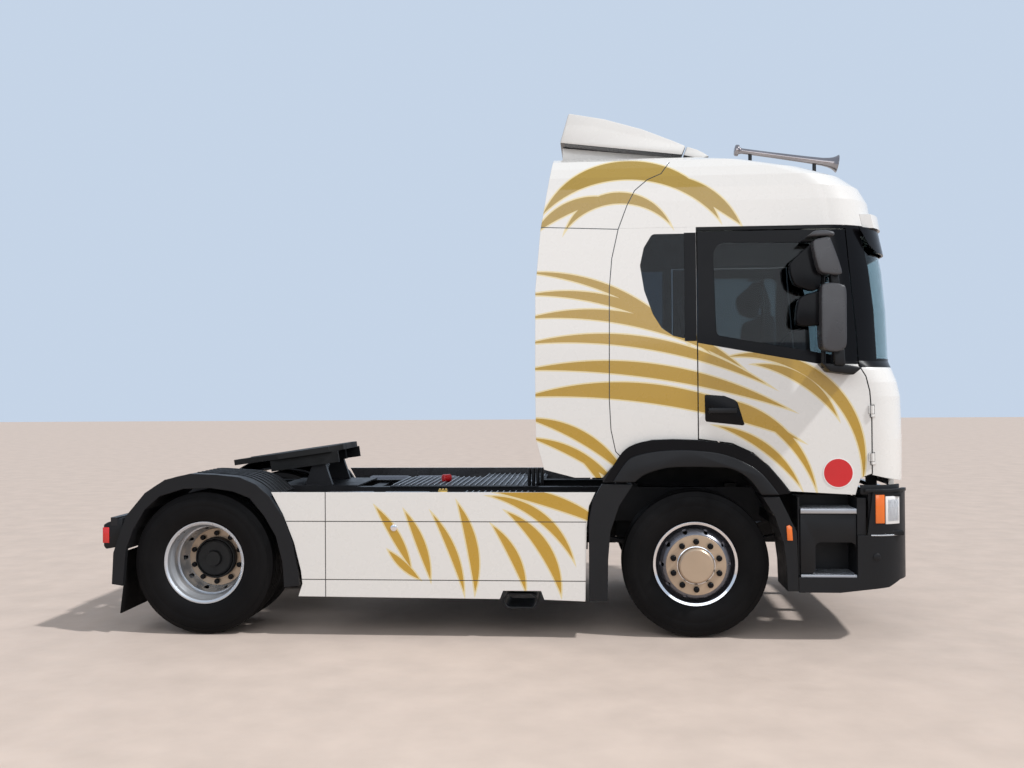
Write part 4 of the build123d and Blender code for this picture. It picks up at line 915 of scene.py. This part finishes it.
FENDER_TOP = smooth_line([
    (-3.048, 1.006), (-3.146, 1.089), (-3.268, 1.142), (-3.441, 1.160), (-3.638, 1.168), (-3.824, 1.124),
    (-3.974, 1.029), (-4.112, 0.862),
])
FENDER_CROWN = FENDER_TOP[:21]
for word, side in SIDES:
    shell = [*FENDER_TOP, *reversed(along(FENDER_TOP, 0.008))]
    side_plate(f"fender_top_{word}", dark_plastic, "chassis", shell, side * 0.612, side * 1.236)
    ridge = [*along(FENDER_CROWN, -0.006), *reversed(along(FENDER_CROWN, 0.004))]
    for index in range(6):
        rib_y = 0.680 + index * 0.080
        side_plate(
            f"fender_rib_{index}_{word}", dark_plastic, "chassis", ridge, side * rib_y, side * (rib_y + 0.022)
        )


# Moulded panels over the steps, cut away round the lower pocket

RISER = [
    (0.7145, 0.893), (1.0975, 0.893), (1.0975, 0.640), (1.088, 0.676), (1.062, 0.690), (0.850, 0.690),
    (0.828, 0.682), (0.819, 0.660), (0.819, 0.500), (0.800, 0.472), (0.7145, 0.472),
]
for word, side in SIDES:
    side_plate(f"step_riser_{word}", dark_plastic, "chassis", RISER, side * 1.214, side * 1.234, 0.005)


# Mirrors: rounded heads and their dark backs, on a post with a cap and a foot

UPPER_HEAD = smooth_ring([
    (0.770, 2.738), (0.800, 2.764), (0.871, 2.774), (0.892, 2.744), (0.954, 2.560), (0.942, 2.524),
    (0.872, 2.530), (0.816, 2.550), (0.788, 2.630),
])
LOWER_HEAD = smooth_ring([
    (0.824, 2.430), (0.842, 2.462), (0.890, 2.468), (0.955, 2.456), (0.984, 2.420), (0.986, 2.240),
    (0.984, 2.069), (0.964, 2.022), (0.914, 2.006), (0.846, 2.022), (0.824, 2.066), (0.822, 2.240),
])
UPPER_BACK = smooth_ring([
    (0.830, 2.738), (0.777, 2.738), (0.695, 2.678), (0.634, 2.607), (0.646, 2.510), (0.693, 2.453),
    (0.830, 2.448),
])
LOWER_BACK = smooth_ring([
    (0.860, 2.411), (0.772, 2.411), (0.700, 2.380), (0.678, 2.316), (0.677, 2.203), (0.770, 2.186),
    (0.860, 2.218),
])
MIRROR_CAP = [(0.735, 2.786), (0.782, 2.822), (0.861, 2.826), (0.914, 2.812), (0.914, 2.786)]
MIRROR_FOOT = [(0.840, 1.935), (0.895, 1.872), (1.050, 1.850), (1.110, 1.900), (0.968, 1.926)]
UPPER_NECK = [(0.895, 2.540), (0.950, 2.540), (0.958, 2.450), (0.900, 2.450)]
LOWER_NECK = [(0.910, 2.030), (0.985, 2.030), (0.990, 1.915), (0.920, 1.915)]
MIRROR_PLATES = [
    # name, finish, outline, y from, y to, width and steps of the rounded edge
    ("mirror_head_low", satin_plastic, LOWER_HEAD, 1.330, 1.488, 0.050, 6),
    ("mirror_head_high", satin_plastic, UPPER_HEAD, 1.330, 1.488, 0.040, 6),
    ("mirror_back_high", gloss_black, UPPER_BACK, 1.320, 1.400, 0.024, 4),
    ("mirror_back_low", gloss_black, LOWER_BACK, 1.320, 1.400, 0.024, 4),
    ("mirror_cap", satin_plastic, MIRROR_CAP, 1.208, 1.480, 0.012, 3),
    ("mirror_foot", dark_plastic, MIRROR_FOOT, 1.206, 1.400, 0.012, 3),
    ("mirror_neck_high", dark_plastic, UPPER_NECK, 1.350, 1.430, 0.012, 3),
    ("mirror_neck_low", dark_plastic, LOWER_NECK, 1.350, 1.430, 0.012, 3),
]
POST_X, POST_Y = 0.870, 1.300
for word, side in SIDES:
    body = f"door_{word}"
    for name, finish, outline, near, far, width, segments in MIRROR_PLATES:
        plate = side_plate(f"{name}_{word}", finish, body, outline, side * near, side * far, width, segments)
        if name == "mirror_head_low":
            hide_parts(f"mirror_{word}")
    round_bar(
        f"mirror_post_{word}", dark_plastic, body,
        at(POST_X, side * POST_Y, 1.900), at(POST_X, side * POST_Y, 2.800), 0.016,
    )
    for label, height in (("low", 2.400), ("high", 2.640)):
        round_bar(
            f"mirror_arm_{label}_{word}", dark_plastic, body,
            at(POST_X, side * POST_Y, height), at(POST_X, side * 1.350, height), 0.014,
        )


# The arches over the front wheels: a raised lip, and a near-black band over it, painted shade of a recess
# over the dark moulding

LIP_TOP = smooth_line([
    (-0.583, 1.110), (-0.493, 1.245), (-0.413, 1.298), (-0.235, 1.330), (-0.023, 1.333), (0.188, 1.306),
    (0.363, 1.234), (0.467, 1.154), (0.571, 1.022),
])
LIP_LOW = smooth_line([
    (0.448, 1.022), (0.362, 1.134), (0.244, 1.203), (0.110, 1.214), (-0.024, 1.217), (-0.200, 1.210),
    (-0.350, 1.166), (-0.426, 1.110),
])
SHADE_BAND_TOP = smooth_line([
    (-0.642, 1.116), (-0.512, 1.320), (-0.404, 1.384), (-0.304, 1.402), (-0.154, 1.407), (0.020, 1.401),
    (0.252, 1.370), (0.400, 1.301), (0.502, 1.211), (0.590, 1.106), (0.640, 1.038),
])
for word, side in SIDES:
    side_plate(
        f"arch_lip_{word}", dark_plastic, "cab", [*LIP_TOP, *LIP_LOW],
        side * (ARCH_Y - 0.010), side * (ARCH_Y + 0.012), 0.008, 3,
    )
    # The near-black band over the lip is painted shade of a recess
    side_plate(
        f"arch_shade_band_{word}", gloss_black, "cab", [*SHADE_BAND_TOP, *reversed(LIP_TOP)],
        side * (ARCH_Y - 0.004), side * (ARCH_Y + 0.001),
    )


# The black glass between the quarter window and the door, which leans with the cab's side

PILLAR_LEAN = [(2.000, 1.2112), (2.311, 1.2060), (2.600, 1.2000), (2.750, 1.1960), (2.900, 1.1900)]


def side_at(height):
    """How far out the cab's side stands at a height."""
    for (low_z, low_y), (high_z, high_y) in zip(PILLAR_LEAN, PILLAR_LEAN[1:]):
        if height <= high_z:
            return low_y + (high_y - low_y) * (height - low_z) / (high_z - low_z)
    return PILLAR_LEAN[-1][1]


PILLAR_HEIGHTS = [2.100, 2.311, 2.600, 2.750, 2.866]
PILLAR = [(-0.066, z) for z in PILLAR_HEIGHTS] + [(0.017, z) for z in reversed(PILLAR_HEIGHTS)]
for word, side in SIDES:
    pillar = side_plate(f"pillar_glass_{word}", gloss_black, "cab", PILLAR, side * -0.004, side * 0.001)
    for vertex in pillar.data.vertices:
        vertex.co.y += side * side_at(vertex.co.z)


# Horns on the roof: turned trumpets with hollow bells, each on two legs

HORN_Y = 0.500
HORN_PROFILE = [
    # distance from the back and radius, out along the outside and back down the inside of the bell
    (0.000, 0.020), (0.003, 0.036), (0.010, 0.043), (0.028, 0.044), (0.034, 0.041), (0.038, 0.027),
    (0.060, 0.021), (0.300, 0.022), (0.550, 0.026), (0.670, 0.030), (0.715, 0.036), (0.745, 0.044),
    (0.767, 0.055), (0.780, 0.066), (0.785, 0.068), (0.785, 0.065), (0.776, 0.054), (0.760, 0.043),
    (0.735, 0.034), (0.700, 0.027), (0.640, 0.021), (0.500, 0.012), (0.480, 0.001), (0.000, 0.001),
]
for word, side in SIDES:
    back = Vector(at(0.382, side * HORN_Y, 3.600))
    bell = Vector(at(1.158, side * HORN_Y, 3.476))
    run = (bell - back).normalized()
    ring = [back + run * distance + Vector((0, 1, 0)) * radius for distance, radius in HORN_PROFILE]
    horn = spun(f"horn_{word}", dull_chrome, "cab", ring, back, run, 48, 40)
    if word == "right":
        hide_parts("horns")
    for x, foot_z, top_z in ((0.502, 3.410, 3.580), (0.985, 3.300, 3.503)):
        round_bar(
            f"horn_leg_{round(x * 1000)}_{word}", frame_paint, "cab",
            at(x, side * HORN_Y, foot_z), at(x, side * HORN_Y, top_z), 0.014,
        )


# The studio: a pale floor, soft light and the camera at the photograph's place

FLOOR_SIZE = 120
SKYLIGHT = ((0.95, 0.97, 1.0, 1), 0.55)
BACKDROP = ((0.56, 0.66, 0.80, 1), 1.0)
SUNLIGHT = Vector((-0.62, 0.22, -0.75))
CAMERA_PLACE = (-0.703, -8.659, 1.743)
CAMERA_LENS = 36.84
# Turns of the camera in degrees: to the side, up from level, and about its own line of sight
CAMERA_PAN, CAMERA_LIFT, CAMERA_ROLL = 4.5, 0.49, -0.4

start()
bpy.ops.mesh.primitive_plane_add(size=1, location=(0, 0, -0.002))
floor = bpy.context.object
floor.name = "floor"
floor.scale = (FLOOR_SIZE, FLOOR_SIZE, 1)
bpy.ops.object.transform_apply(location=True, rotation=True, scale=True)
floor.data.materials.append(grained(shader("pale floor", (0.57, 0.475, 0.415), 0.75, patchy=0.06), 14, 0.15))

world = bpy.context.scene.world or bpy.data.worlds.new("studio")
bpy.context.scene.world = world
world.use_nodes = True
tree = world.node_tree
tree.nodes.clear()
output = tree.nodes.new("ShaderNodeOutputWorld")
mix = tree.nodes.new("ShaderNodeMixShader")
for socket, (colour, strength) in zip(mix.inputs[1:], (SKYLIGHT, BACKDROP)):
    background = tree.nodes.new("ShaderNodeBackground")
    background.inputs["Color"].default_value = colour
    background.inputs["Strength"].default_value = strength
    set_socket(world, socket, background.outputs[0])
# The backdrop shows to the camera, in reflections and through glass, and the skylight only lights
ray = tree.nodes.new("ShaderNodeLightPath").outputs
seen = math_node(world, "MAXIMUM", ray["Is Camera Ray"], ray["Is Glossy Ray"])
seen = math_node(world, "MAXIMUM", seen, ray["Is Transmission Ray"])
set_socket(world, mix.inputs["Fac"], seen)
set_socket(world, output.inputs["Surface"], mix.outputs[0])

start()
bpy.ops.object.light_add(type="SUN", rotation=SUNLIGHT.to_track_quat("-Z", "Y").to_euler())
sun = bpy.context.object
sun.data.energy = 2.6
sun.data.angle = math.radians(3)
start()
bpy.ops.object.light_add(type="AREA", location=(1.0, -9.0, 5.0), rotation=(math.radians(62), 0, 0))
soft = bpy.context.object
soft.data.shape = "RECTANGLE"
soft.data.size = 10
soft.data.size_y = 5
soft.data.energy = 200

start()
bpy.ops.object.camera_add()
camera = bpy.context.object
camera.data.sensor_width = 36
camera.data.lens = CAMERA_LENS
turn = (
    Matrix.Rotation(math.radians(CAMERA_PAN), 4, "Z")
    @ Matrix.Rotation(math.radians(90 + CAMERA_LIFT), 4, "X")
    @ Matrix.Rotation(math.radians(CAMERA_ROLL), 4, "Z")
)
camera.matrix_world = Matrix.Translation(at(*CAMERA_PLACE)) @ turn
camera.data.clip_end = 300
bpy.context.scene.camera = camera
bpy.context.scene.view_settings.view_transform = "Standard"

low, high = cad_box
